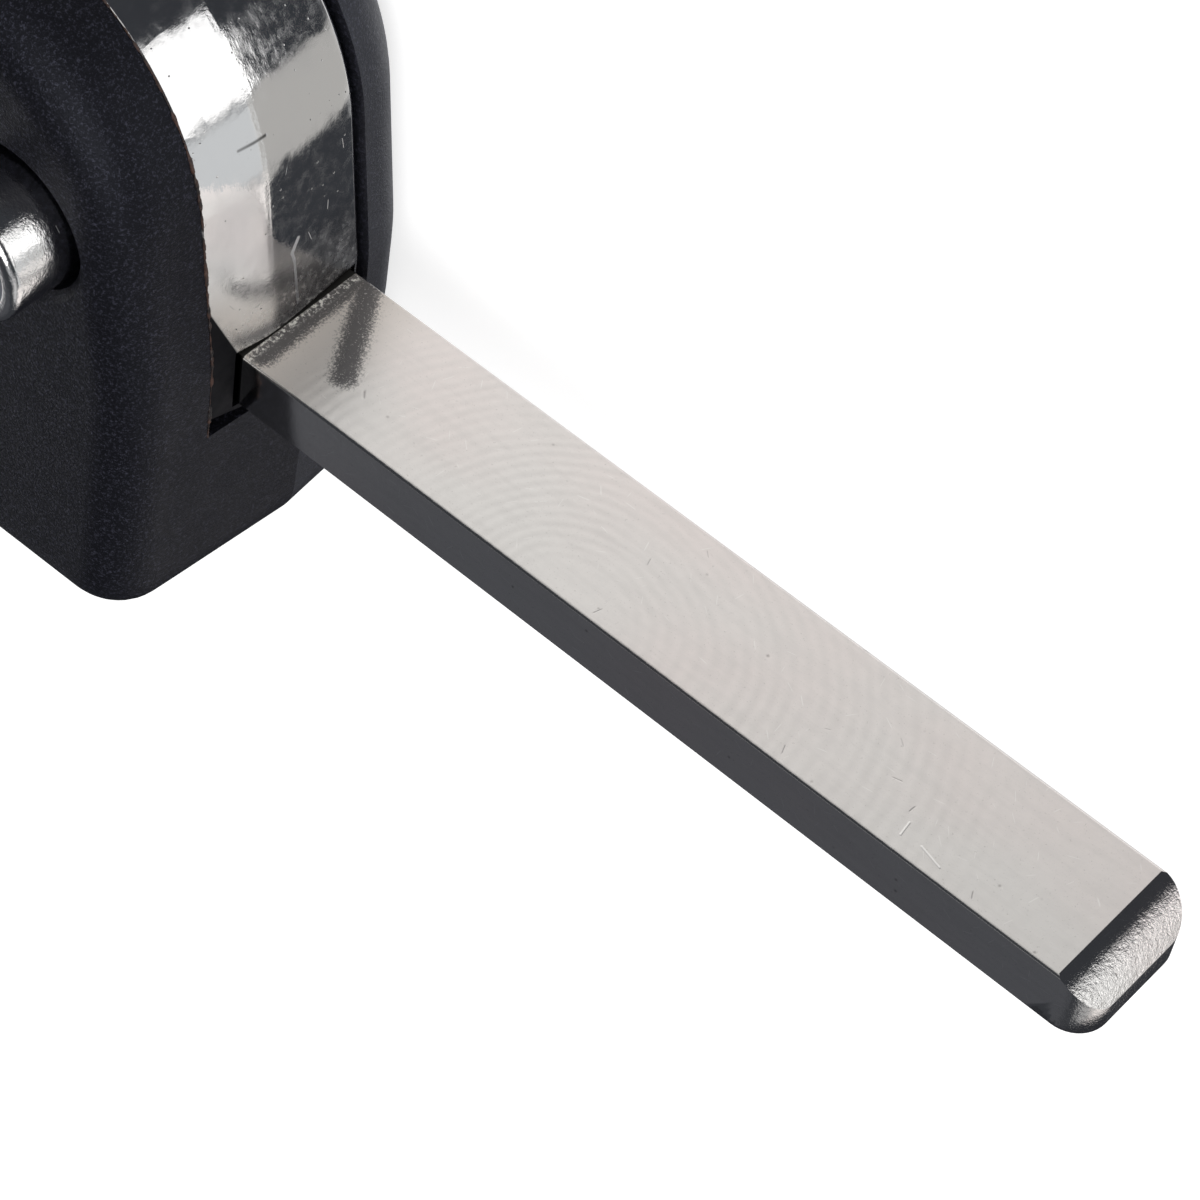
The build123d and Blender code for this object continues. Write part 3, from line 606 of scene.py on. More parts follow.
def milled_nickel(name, settings):
    """Plated blank: the cutter's arcs, warm clouds, pits and scratches; by the root a painted dark
    reflection of the head in bands, painted glints, and painted shade where the blade meets the head.
    """
    material, shader, place = new_material(name)
    x = place.parts()[0]
    facing = step(place.tree, "ShaderNodeTexCoord", out="Normal")
    wide = ramp(abs(facing.parts()[1]), 0.93, 0.985)
    shifted = place - ARC_CENTRE
    past = shifted.parts()[0].calc("GREATER_THAN", 0.0)
    reach = (shifted * combine(past * ARC_SQUEEZE + 1.0, 0.0, 1.0)).length()
    turns = (noise(place, 260.0, 3.0) * ARC_WANDER + reach) / settings.arc_pitch
    patchy = ramp(noise(place, 620.0, 3.0, 0.6), 0.3, 0.62, 0.3, 1.0)
    shown = ramp(reach, *ARC_FADE, 1.0, 0.03) * ramp(reach, *ARC_START) * (patchy * wide)
    rings = ((turns * (2 * pi)).calc("SINE") * 0.5 + 0.5) * shown
    pits = use("pits", place, Scale=1100.0, Size=0.13)
    scratches = use("scratches", place, Scale=620.0, Length=0.17, Width=0.03 * MM, Share=0.5)
    light_strokes = use("scratches", place, Scale=1300.0, Length=0.4, Width=0.02 * MM, Share=0.5)
    marks = strongest(use_mark(place, *mark) for mark in BLADE_MARKS)
    mottle = noise(place, 1700.0, 4.0, 0.72)
    speckle = noise(place, 5200.0, 3.0, 0.8)
    grit = noise(place, 8600.0, 3.0, 0.8)
    # Painted reflection of the head: near-black bands by the root, flecked with painted glints
    reflection_bands = [(use_mark(place, *band), depth) for *band, depth in ROOT_REFLECTION_BANDS]
    root_reflection = strongest(ramp(band * 0.5 + grit, 0.6, 0.88, 0.0, depth) for band, depth in reflection_bands)
    clouds = noise(place * (0.6, 1.0, 1.0), 95.0)
    streaks = noise(place * (0.12, 1.0, 1.0), 2600.0, 3.0, 0.6)
    root = ramp(x, ROOT_END, HEAD_HIGH.x) * wide
    # Painted glints: bright specks along the blade's root, next to the head
    beside = ramp(x, HEAD_HIGH.x + 0.5 * MM, HEAD_HIGH.x + 0.2 * MM)
    # Painted shade: a dark line on the blade where it meets the head
    gap = ramp(x, HEAD_HIGH.x + 0.02 * MM, HEAD_HIGH.x - 0.02 * MM)
    tone = layered(
        blend(ramp(clouds, 0.45, 0.7), settings.nickel_colour, settings.nickel_pink),
        (ramp(mottle, 0.35, 0.7, 0.0, 0.12), NICKEL_MOTTLE),
        (pits * 0.6, NICKEL_PIT),
        (ramp(streaks, 0.4, 0.7, 0.0, 0.1), NICKEL_STREAK),
        (scratches * 0.4, NICKEL_SCRATCH),
        (light_strokes * 0.6, NICKEL_STROKE),
        (rings * settings.arc_strength, NICKEL_ARC),
        (root, ROOT_WARM),
        (root_reflection, ROOT_REFLECTION_DARK),
        (ramp(grit, 0.6, 0.68) * root_reflection, ROOT_REFLECTION_GLINT),
        (ramp(speckle, 0.5, 0.6) * beside, PAINTED_ROOT_GLINT),
        (gap, GAP_SHADE),
        (marks, NICKEL_MARK),
    )
    slope = ramp(x, BLADE_HIGH.x - TIP_RUN, BLADE_HIGH.x)
    frost = (mottle + speckle) * (slope * ramp(slope, 1.0, 0.5, 0.35, 1.0))
    height = rings * 0.35 + (frost * 6.5 + mottle * 0.3) + strongest([pits, scratches]) * -0.6 + marks * 0.8
    side, face = settings.side_roughness, settings.face_roughness
    feed(shader, Base_Color=tone, Metallic=root * -0.85 + 1.0, Roughness=wide * (face - side) + side)
    feed(shader, Normal=bump(height, settings.milling_depth))
    return material


def turned_steel(name, colour, rough, scale=2200.0):
    """Plain machined steel with fine lines and a little unevenness."""
    material, shader, place = new_material(name, Metallic=1.0)
    lines = noise(place * (0.3, 0.3, 3.0), scale, 3.0, 0.6)
    clouds = ramp(noise(place, scale * 0.12), 0.35, 0.65)
    tone = blend(clouds, tuple(c * 0.72 for c in colour), colour)
    roughness = ramp(lines, 0.3, 0.7, rough - 0.06, rough + 0.08)
    feed(shader, Base_Color=tone, Roughness=roughness, Normal=bump(lines, 0.004 * MM))
    return material


def satin_disc(name):
    """The button's inset: a satin blue-grey disc."""
    material, shader, place = new_material(name, Metallic=0.75)
    fine = noise(place, 6000.0)
    tone = blend(ramp(noise(place, 420.0), 0.35, 0.7), *DISC_BLUES)
    feed(shader, Base_Color=tone, Roughness=ramp(fine, 0.3, 0.7, 0.28, 0.4), Normal=bump(fine, 0.002 * MM))
    return material


def burnt_flash(name):
    """The brownish flash that the mould leaves along the slot's edge."""
    material, shader, place = new_material(name)
    cloud = noise(place, 1800.0)
    tone = blend(ramp(cloud, 0.35, 0.65), *FLASH_BROWNS)
    feed(shader, Base_Color=tone, Roughness=ramp(cloud, 0.2, 0.8, 0.35, 0.6))
    return material


def make_materials():
    """Every finish, by what it covers."""
    scene = bpy.context.scene
    case, head, blade = scene.flip_key_case, scene.flip_key_head, scene.flip_key_blade
    make_groups()
    dark = tuple(case.plastic_colour)
    # The light colour is the painted highlight on the grain's peaks, eight times the plastic's colour
    light = tuple(min(1.0, c * 8.0) for c in dark)
    scale, depth = case.grain_scale, case.grain_depth
    MATERIALS.update({
        "case": moulded_plastic("Grained black case", dark, light, scale, depth, 0.44),
        "rear": moulded_plastic("Grained black rear case", dark, light, scale, depth, 0.44, 0.75),
        "key": moulded_plastic("Satin black key", dark, light, scale * 1.4, depth * 0.5, 0.36, 0.4),
        "rubber": moulded_plastic("Grey key mat rubber", *RUBBER_GREYS, 3000.0, 0.01 * MM, 0.7),
        "head": chrome_plate("Chrome head plating", head, 0.3, 2900.0, HEAD_MARKS, True),
        "knob": chrome_plate("Chrome button plating", head, 1.5, 5200.0),
        "blade": milled_nickel("Milled nickel blank", blade),
        "disc": satin_disc("Satin button disc"),
        "steel": turned_steel("Turned steel", (0.46, 0.46, 0.47), 0.3),
        "spring": turned_steel("Spring steel", (0.34, 0.34, 0.35), 0.28, 3200.0),
        "contact": turned_steel("Bright contact nickel", (0.72, 0.7, 0.64), 0.2, 1500.0),
        "screw": turned_steel("Black zinc screw", (0.1, 0.1, 0.11), 0.34, 2600.0),
        "flash": burnt_flash("Moulding flash"),
    })


# Head: crown and rims

def crown_slope(above):
    """The fall of the crown for each unit of height, above or below the ridge."""
    if above > 0:
        return FRONT_FALL / (HEAD_FRONT_Z - RIDGE_Z)
    return BACK_FALL / (RIDGE_Z - HEAD_LOW.z)


def crown_inset(z, settings):
    """How far the head's side stands in from its ridge at one height."""
    above = z - RIDGE_Z
    soft = settings.ridge_softness
    inset = crown_slope(above) * (sqrt(above * above + soft * soft) - soft)
    share = above / (HEAD_FRONT_Z - RIDGE_Z) if above > 0 else above / (HEAD_LOW.z - RIDGE_Z)
    inset -= 4 * settings.crown_height * share * (1 - share)
    rim = settings.front_rim if above > 0 else settings.rim_radius
    to_face = max(0.0, min(HEAD_FRONT_Z - z, z - HEAD_LOW.z))
    if to_face < rim:
        inset += rim - sqrt(rim * rim - (rim - to_face) ** 2)
    return inset


def crown_way(vertex):
    """The outward direction of the crown at a vertex, square to each side that meets there."""
    sides = []
    for face in vertex.link_faces:
        leans = (face.normal.z - crown_slope(1), face.normal.z + BACK_LEAN)
        flat = face.normal.xy
        if min(map(abs, leans)) < LEAN_SLACK and flat.length > FACES_OUT and flat.dot(vertex.co.xy) > 0:
            flat.normalize()
            if all(flat.dot(other) < SAME_WAY for other in sides):
                sides.append(flat)
    if not sides:
        return None
    if len(sides) == 1:
        return sides[0]
    first, last = sides[0], min(sides[1:], key=sides[0].dot)
    return (first + last) / (1 + first.dot(last))


def crown_head(shape):
    """Cuts rows into the head's side, then rounds its ridge and its front and back rims."""
    settings = bpy.context.scene.flip_key_head
    rows = [1 - cos(radians(turn)) for turn in RIM_TURNS]
    levels = [HEAD_LOW.z + settings.rim_radius * row for row in rows]
    levels += [HEAD_FRONT_Z - settings.front_rim * row for row in rows]
    levels += [RIDGE_Z + side * gap * MM for side in (-1, 1) for gap in RIDGE_STEPS]
    levels += [RIDGE_Z - gap * MM for gap in BACK_STEPS]
    cut_rows(shape, [((0, 0, level), (0, 0, 1)) for level in levels])
    shape.normal_update()
    moves = []
    for vertex in shape.verts:
        way = crown_way(vertex)
        if way is not None:
            z = vertex.co.z
            straight = crown_slope(z - RIDGE_Z) * abs(z - RIDGE_Z)
            moves.append((vertex, way * (straight - crown_inset(z, settings))))
    for vertex, move in moves:
        vertex.co.x += move.x
        vertex.co.y += move.y
    for vertex in shape.verts:
        if HEAD_FRONT_Z - LIFT_BAND < vertex.co.z < HEAD_FRONT_Z + LEVEL_SLACK:
            vertex.co.z += settings.front_lift * (vertex.co.z - HEAD_FRONT_Z + LIFT_BAND) / LIFT_BAND


# Blade: curved slope at the tip

def curve_tip(shape):
    """Cuts rows into the tip's slope and lifts them into a shallow arc."""
    start = Vector((BLADE_HIGH.x - TIP_RUN, BLADE_HIGH.y, 0))
    fall = Vector((BLADE_HIGH.x, BLADE_HIGH.y - TIP_DROP, 0)) - start
    way, length = fall.normalized(), fall.length
    square = Vector((-way.y, way.x, 0))
    cut_rows(shape, [(start + way * length * row / TIP_ROWS, way) for row in range(1, TIP_ROWS)])
    rise = bpy.context.scene.flip_key_blade.tip_rise
    for vertex in shape.verts:
        away = vertex.co - start
        share = away.xy.dot(way.xy) / length
        if abs(away.xy.dot(square.xy)) < SLOPE_SLACK and 0 < share < 1:
            vertex.co.y += 4 * rise * share * (1 - share) / square.y


def crease_tip(mesh):
    """Keeps the slope crisp all round, where it meets the wide face, the sides and the end."""
    sides = {}
    for face in mesh.polygons:
        for key in face.edge_keys:
            sides.setdefault(key, set()).add(min(face.normal.x, face.normal.y) > SLOPE_LEAN)
    sharp = mesh.attributes.get("sharp_edge") or mesh.attributes.new("sharp_edge", "BOOLEAN", "EDGE")
    for edge in mesh.edges:
        if len(sides[edge.key]) == 2:
            sharp.data[edge.index].value = True


# Pieces grown by Geometry Nodes

def grow(name, title, build, sizes, sharp, finish, slot, body, *nodes, points=(), edges=()):
    """Builds a tree from named sizes, runs it on points or a line and settles the mesh that it makes."""
    tree = bpy.data.node_groups.new(title, "GeometryNodeTree")
    tree.interface.new_socket("Geometry", in_out="OUTPUT", socket_type="NodeSocketGeometry")
    kinds = {"Geometry": "NodeSocketGeometry", **sizes, "Material": "NodeSocketMaterial"}
    given = named_inputs(tree, kinds)
    shape = step(tree, "GeometryNodeRealizeInstances", {0: build(tree, given)})
    shape = step(tree, "GeometryNodeSetMaterial", {"Geometry": shape, "Material": given["Material"]})
    tree.links.new(shape.socket, tree.nodes.new("NodeGroupOutput").inputs["Geometry"])
    base = bpy.data.meshes.new(title)
    base.from_pydata(points, edges, [])
    piece = add_object(name, base)
    grower = piece.modifiers.new("Grow", "NODES")
    grower.node_group = tree
    keys = {item.name: item.identifier for item in tree.interface.items_tree if item.in_out == "INPUT"}
    for label, value in {**sizes, "Material": MATERIALS[finish]}.items():
        grower[keys[label]] = value
    mesh = plain_mesh(piece, name)
    mesh.materials.clear()
    for face in mesh.polygons:
        face.material_index = 0
    shade_round(mesh, sharp)
    return settle(mesh, name, finish, slot, body, *nodes)


def helix(tree, turns, radius, low, high, dead, wire, count):
    """A line that climbs round the axis; its dead turns at each end lie close, a wire apart."""
    line = step(tree, "GeometryNodeMeshLine", {"Count": turns * count + 1.0})
    turn = step(tree, "GeometryNodeInputIndex") / count
    angle = turn * (2 * pi)
    ending = turns - dead
    free = high - low - dead * 2.0 * wire
    share = step(tree, "ShaderNodeMapRange", {"Value": turn, "From Min": dead, "From Max": ending})
    closed = turn.calc("MINIMUM", dead) + (turn - ending).calc("MAXIMUM", 0.0)
    climb = share * free + (closed * wire + low)
    place = combine(radius * angle.calc("COSINE"), radius * angle.calc("SINE"), climb)
    bent = step(tree, "GeometryNodeSetPosition", {"Geometry": line, "Position": place})
    return step(tree, "GeometryNodeMeshToCurve", {"Mesh": bent})


def sweep(tree, path, radius, sides, **more):
    """A closed round or angular bar along a path."""
    section = step(tree, "GeometryNodeCurvePrimitiveCircle", {"Resolution": sides, "Radius": radius})
    inputs = {"Curve": path, "Profile Curve": section, "Fill Caps": True, **more}
    return step(tree, "GeometryNodeCurveToMesh", inputs)


def build_spring(tree, given):
    """A coil spring with closed ends."""
    sizes = [given[key] for key in ("Turns", "Radius", "Low", "High", "Dead turns", "Wire")]
    return sweep(tree, helix(tree, *sizes, COIL_STEPS), given["Wire"] * 0.5, COIL_SIDES)


def barrel(tree, radius, top_radius, low, high):
    """A turned length of screw, straight or tapered."""
    radii = {"Radius Bottom": radius, "Radius Top": top_radius}
    cone = step(tree, "GeometryNodeMeshCone", {"Vertices": SCREW_SIDES, "Depth": high - low, **radii})
    lift = step(tree, "ShaderNodeCombineXYZ", {2: low})
    return step(tree, "GeometryNodeTransform", {"Geometry": cone, "Translation": lift})


def joined(tree, *shapes):
    """Several shapes as one."""
    node = tree.nodes.new("GeometryNodeJoinGeometry")
    for shape in reversed(shapes):
        tree.links.new(shape.socket, node.inputs[0])
    return Pattern(node.outputs[0])


def build_screws(tree, given):
    """A tapping screw with a cross recess, set at each point of the base mesh."""
    thick, wide, core = given["Head thickness"], given["Head radius"], given["Core radius"]
    head = barrel(tree, thick * HEAD_TAPER + wide, wide, 0.0, thick)
    for long, narrow, share in CROSS_CUTS:
        size = combine(given[long], given[narrow], given["Cross depth"] * share)
        meshes = {"Mesh 1": head, "Mesh 2": step(tree, "GeometryNodeMeshCube", {"Size": size})}
        head = step(tree, "GeometryNodeMeshBoolean", meshes, operation="DIFFERENCE")
    tip = given["Length"] - core * TIP_LENGTH
    shank = barrel(tree, core, core, thick * SHANK_START, tip)
    point = barrel(tree, core, core * TIP_END, tip, given["Length"])
    first, last = thick * THREAD_START, tip - THREAD_END
    turns = ((last - first) / given["Thread pitch"]).calc("FLOOR")
    path = helix(tree, turns, core, first, last, 0.0, 0.0, THREAD_STEPS)
    thread = sweep(tree, path, given["Thread height"], THREAD_SIDES)
    places = step(tree, "GeometryNodeMeshToPoints", {"Mesh": given["Geometry"]})
    screw = joined(tree, head, shank, point, thread)
    return step(tree, "GeometryNodeInstanceOnPoints", {"Points": places, "Instance": screw})


def build_flash(tree, given):
    """A thin ragged bead of flash along the base mesh's edges."""
    path = step(tree, "GeometryNodeMeshToCurve", {"Mesh": given["Geometry"]})
    path = step(tree, "GeometryNodeResampleCurve", {"Curve": path, "Count": given["Points"]})
    seeded = step(tree, "GeometryNodeInputPosition") + combine(given["Seed"], 0.0, 0.0)
    ragged = ramp(noise(seeded, 1500.0, 3.0, 0.7), 0.38, 0.68, 0.12, 1.0)
    offset = (noise(seeded, 2600.0, 2.0, 0.6) - 0.5) * given["Width"]
    wander = combine(offset, offset, given["Width"] * -0.3 + offset)
    moved = step(tree, "GeometryNodeSetPosition", {"Geometry": path, "Offset": wander})
    return sweep(tree, moved, 1.0, BEAD_SIDES, Scale=given["Width"] * 0.5 * ragged)


def screw_places():
    """Where each screw's head starts, read from the two loose solids of the node."""
    points = [vertex.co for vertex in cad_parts["shell_screws"].data.vertices]
    middle = (SCREWS_LOW.x + SCREWS_HIGH.x) / 2
    places = []
    for group in ([p for p in points if p.x < middle], [p for p in points if p.x > middle]):
        x, y = ((min(p[i] for p in group) + max(p[i] for p in group)) / 2 for i in (0, 1))
        places.append((x, y, SCREWS_LOW.z))
    return places


def slot_edge():
    """The front shell's edge over the head, from the far side of the head to its foot."""
    shape = bmesh.new()
    shape.from_mesh(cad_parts["front_shell"].data)
    bmesh.ops.remove_doubles(shape, verts=shape.verts, dist=WELD)
    shape.normal_update()
    edges = []
    for edge in shape.edges:
        if all(abs(v.co.z - SLOT_FRONT_Z) < LEVEL_SLACK and v.co.x > FLASH_START_X for v in edge.verts):
            normals = [face.normal for face in edge.link_faces]
            down = any(normal.z < FACES_DOWN for normal in normals)
            away = edge.verts[0].co.xy
            if down and any(abs(normal.z) < UPRIGHT and normal.xy.dot(away) > 0 for normal in normals):
                edges.append(edge)
    points = list(dict.fromkeys(v for edge in edges for v in edge.verts))
    order = {v: i for i, v in enumerate(points)}
    places = [v.co.copy() for v in points]
    pairs = [tuple(order[v] for v in edge.verts) for edge in edges]
    shape.free()
    return places, pairs


# Turned pieces

def lathe(name, finish, profile, slot, *nodes):
    """A turned piece of the button, on the pivot axis, from a profile of radius and height."""
    shape = bmesh.new()
    points = [shape.verts.new((r, 0, z)) for r, z in profile]
    line = points + [shape.edges.new(pair) for pair in zip(points, points[1:])]
    axis = {"cent": (0, 0, 0), "axis": (0, 0, 1), "angle": 2 * pi}
    bmesh.ops.spin(shape, geom=line, steps=TURNED_STEPS, use_merge=True, **axis)
    bmesh.ops.remove_doubles(shape, verts=shape.verts, dist=TURNED_WELD)
    bmesh.ops.recalc_face_normals(shape, faces=shape.faces)
    mesh = bpy.data.meshes.new(name)
    shape.to_mesh(mesh)
    shape.free()
    shade_round(mesh, TURNED_SHARP)
    return settle(mesh, name, finish, slot, "button", *nodes)


def corner(radius, r, z, start, end, count):
    """Points round an edge of a turned profile, between two angles in degrees."""
    turns = [radians(start + (end - start) * i / count) for i in range(count + 1)]
    return [(r + radius * cos(t), z + radius * sin(t)) for t in turns]


def knob_profile():
    """Stem, clip groove and knob with its rounded edge and the disc's recess."""
    low, top, wide = KNOB_LOW.z, KNOB_HIGH.z, KNOB_HIGH.x
    neck = STEM_R - CLIP_GROOVE
    groove = low + STEM_TAIL
    stem = [(0, low), (STEM_R - STEM_CHAMFER, low), (STEM_R, low + STEM_CHAMFER), (STEM_R, groove)]
    stem += [(neck, groove), (neck, groove + CLIP_THICK), (STEM_R, groove + CLIP_THICK)]
    stem += [(STEM_R, COLLAR_TOP_Z)]
    foot = corner(KNOB_FOOT_R, wide - KNOB_FOOT_R, COLLAR_TOP_Z + KNOB_FOOT_R, -90, 0, 4)
    edge = corner(KNOB_EDGE_R, wide - KNOB_EDGE_R, top - KNOB_EDGE_R, 0, 90, 12)
    mouth = corner(DISC_MOUTH_R, DISC_HIGH.x + DISC_MOUTH_R, top - DISC_MOUTH_R, 90, 180, 5)
    return stem + foot + edge + mouth + [(DISC_HIGH.x, DISC_LOW.z), (0, DISC_LOW.z)]


def disc_profile():
    """The flat disc with a fine edge."""
    low, top, wide = DISC_LOW.z, DISC_HIGH.z, DISC_HIGH.x
    edge = corner(DISC_EDGE_R, wide - DISC_EDGE_R, top - DISC_EDGE_R, 0, 90, 4)
    return [(0, low), (wide, low), *edge, (0, top)]


# Settings

def setting(name, description, default, kind=FloatProperty, **limits):
    """A size, share or colour that a user may change; none goes below 0."""
    return kind(name=name, description=description, default=default, **{"min": 0.0, **limits})


length_setting = partial(setting, precision=6, unit="LENGTH")
share_setting = partial(setting, max=1.0, subtype="FACTOR")
colour_setting = partial(setting, kind=FloatVectorProperty, max=1.0, size=3, subtype="COLOR")


class CaseSettings(PropertyGroup):
    """Sizes and colours of the moulded case."""

    plastic_colour: colour_setting("Plastic", "Colour of the case's plastic", (0.0054, 0.0055, 0.0078))
    grain_scale: setting("Grain scale", "Cells of grain in a metre", 6800.0, min=1.0)
    grain_depth: length_setting("Grain depth", "Height of the moulded grain", 0.000042)
    flash_width: length_setting("Flash width", "Greatest width of the flash on the slot's edge", 0.0002)
    cross_length: length_setting("Cross length", "Length of the screws' cross recess", 0.002)
    cross_width: length_setting("Cross width", "Width of the screws' cross recess", 0.0004)
    cross_depth: length_setting("Cross depth", "Depth of the screws' cross recess", 0.0005)
    thread_pitch: length_setting("Thread pitch", "Step of the screws' thread", 0.0006)


class HeadSettings(PropertyGroup):
    """Sizes and finish of the chrome head."""

    ridge_softness: length_setting("Ridge softness", "How far the crown's ridge is rounded off", 0.00025)
    crown_height: length_setting("Crown height", "How far each band of the side bulges", 0.00003)
    rim_radius: length_setting("Back rim", "Rounding of the back rim", 0.0003)
    front_rim: length_setting("Front rim", "Rounding of the front rim", 0.0001)
    front_lift: length_setting("Front lift", "How far the front face rises towards the shell", 0.00021)
    chrome_roughness: share_setting("Chrome roughness", "Roughness of the clean plating", 0.07)
    peel_depth: length_setting("Peel depth", "Height of the plating's waviness", 0.000011)


class BladeSettings(PropertyGroup):
    """Finish of the milled blank."""

    nickel_colour: colour_setting("Nickel", "Colour of the blank's plating", (0.80, 0.785, 0.765))
    nickel_pink: colour_setting("Warm clouds", "Colour of the plating's clouds", (0.82, 0.765, 0.745))
    face_roughness: share_setting("Face roughness", "Roughness of the wide faces", 0.3)
    side_roughness: share_setting("Side roughness", "Roughness of the narrow sides", 0.12)
    arc_pitch: length_setting("Arc pitch", "Step between the cutter's arcs", 0.00052)
    arc_strength: share_setting("Arc strength", "How clearly the cutter's arcs show", 0.2)
    milling_depth: length_setting("Milling depth", "Height of the cutter's marks", 0.000009)
    tip_rise: length_setting("Tip rise", "How far the tip's slope bulges", 0.00018)


class StudioSettings(PropertyGroup):
    """Light of the plain studio."""

    key_power: setting("Key light", "Power of the overhead light", 0.7, unit="POWER")
    fill: share_setting("Fill", "Level of the even light from all round", STUDIO_FILL)
    cards: share_setting("Cards", "Level of the white cards that metal mirrors", 1.0)


# Operators

class MakeCase(Operator):
    """Builds the two case halves with their grained plastic"""

    bl_idname = "flip_key.make_case"
    bl_label = "Case halves"

    def execute(self, context):
        for node, finish in (("front_shell", "case"), ("rear_shell", "rear")):
            smooth_copy(node, node + "_grained", finish, "case_black", "case", CASE_SHARP)
        return {"FINISHED"}


class MakeHead(Operator):
    """Builds the crowned chrome head"""

    bl_idname = "flip_key.make_head"
    bl_label = "Chrome head"

    def execute(self, context):
        smooth_copy(
            "flip_head", "flip_head_crowned", "head", "head_chrome", "head", HEAD_SHARP, crown_head
        )
        return {"FINISHED"}


class MakeBlade(Operator):
    """Builds the milled blank"""

    bl_idname = "flip_key.make_blade"
    bl_label = "Blade"

    def execute(self, context):
        smooth_copy(
            "key_blade", "key_blade_milled", "blade", "blade_nickel", "head", BLADE_SHARP,
            curve_tip, crease_tip,
        )
        return {"FINISHED"}


class MakeButton(Operator):
    """Turns the release button and its satin disc"""

    bl_idname = "flip_key.make_button"
    bl_label = "Release button"

    def execute(self, context):
        lathe("release_button_turned", "knob", knob_profile(), "button_chrome", "release_button")
        lathe("release_button_inset", "disc", disc_profile(), "button_disc", "release_button_disc")
        return {"FINISHED"}


class MakeSpring(Operator):
    """Grows the coil spring between its seat and the lock collar"""

    bl_idname = "flip_key.make_spring"
    bl_label = "Flip spring"

    def execute(self, context):
        half = SPRING_WIRE / 2
        sizes = {
            "Turns": SPRING_TURNS, "Radius": SPRING_HIGH.x - half, "Low": SPRING_LOW.z + half,
            "High": SPRING_HIGH.z - half, "Dead turns": DEAD_TURNS, "Wire": SPRING_WIRE,
        }
        coil = grow(
            "flip_spring_coil", "Coil spring", build_spring, sizes, COIL_SHARP,
            "spring", "spring_steel", "case", "flip_spring",
        )
        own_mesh(coil)
        return {"FINISHED"}


class MakeScrews(Operator):
    """Sets a threaded screw with a cross recess at each boss"""

    bl_idname = "flip_key.make_screws"
    bl_label = "Case screws"

    def execute(self, context):
        case = context.scene.flip_key_case
        sizes = {
            "Head radius": SCREW_HEAD_R, "Head thickness": SCREW_HEAD_THICK, "Core radius": SCREW_CORE_R,
            "Length": SCREWS_HIGH.z - SCREWS_LOW.z, "Thread height": THREAD_HEIGHT,
            "Thread pitch": case.thread_pitch, "Cross length": case.cross_length,
            "Cross width": case.cross_width, "Cross depth": case.cross_depth,
        }
        grow(
            "shell_screws_threaded", "Case screws", build_screws, sizes, TURNED_SHARP,
            "screw", "screw_steel", "case", "shell_screws", points=screw_places(),
        )
        return {"FINISHED"}


class MakeFlash(Operator):
    """Runs the mould's ragged flash along the shell's edge over the head"""

    bl_idname = "flip_key.make_flash"
    bl_label = "Mould flash"

    def execute(self, context):
        width = context.scene.flip_key_case.flash_width
        sizes = {"Points": FLASH_POINTS, "Width": width, "Seed": FLASH_SEED}
        points, edges = slot_edge()
        grow(
            "slot_edge_flash", "Mould flash", build_flash, sizes, BEAD_SHARP,
            "flash", "case_black", "case", points=points, edges=edges,
        )
        return {"FINISHED"}


class DressInnerPieces(Operator):
    """Gives the keys, mat, contacts and lock parts their finishes"""

    bl_idname = "flip_key.dress_inner"
    bl_label = "Keys and inner pieces"

    def execute(self, context):
        finishes = {
            "key": ("lock_key_cap", "unlock_key_cap", "boot_key_cap"),
            "rubber": ("key_mat",),
            "contact": ("battery_contact_minus", "battery_contact_plus"),
            "steel": ("lock_collar", "spring_seat"),
            "spring": ("stem_clip", "blade_roll_pin"),
        }
        for finish, nodes in finishes.items():
            for node in nodes:
                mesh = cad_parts[node].data
                mesh.materials.clear()
                mesh.materials.append(MATERIALS[finish])
        return {"FINISHED"}


class SetStage(Operator):
    """Sets the floor, the light and the camera"""

    bl_idname = "flip_key.set_stage"
    bl_label = "Studio"

    def execute(self, context):
        make_floor()
        make_world(context.scene)
        make_lamp(context.scene)
        make_camera(context.scene)
        context.scene.view_settings.view_transform = "Standard"
        return {"FINISHED"}


def make_floor():
    """A wide pale floor that shows white to the camera and keeps the key's shadow."""
    shape = bmesh.new()
    bmesh.ops.create_grid(shape, x_segments=FLOOR_ROWS, y_segments=FLOOR_ROWS, size=FLOOR_HALF)
    mesh = bpy.data.meshes.new("studio_floor")
    shape.to_mesh(mesh)
    shape.free()
    floor = add_object("studio_floor", mesh)
    floor.visible_glossy = False
    sockets = {"Roughness": 0.9, "Specular_IOR_Level": 0.1, "Emission_Color": WHITE}
    material, shader, place = new_material("Pale floor", **sockets)
    seen = step(place.tree, "ShaderNodeLightPath", out="Is Camera Ray")
    glow = step(place.tree, "ShaderNodeMix", {0: seen, 2: 0.0, 3: FLOOR_GLOW})
    feed(shader, Base_Color=blend(noise(place, 40.0), *FLOOR_GREYS), Emission_Strength=glow)
    mesh.materials.append(material)


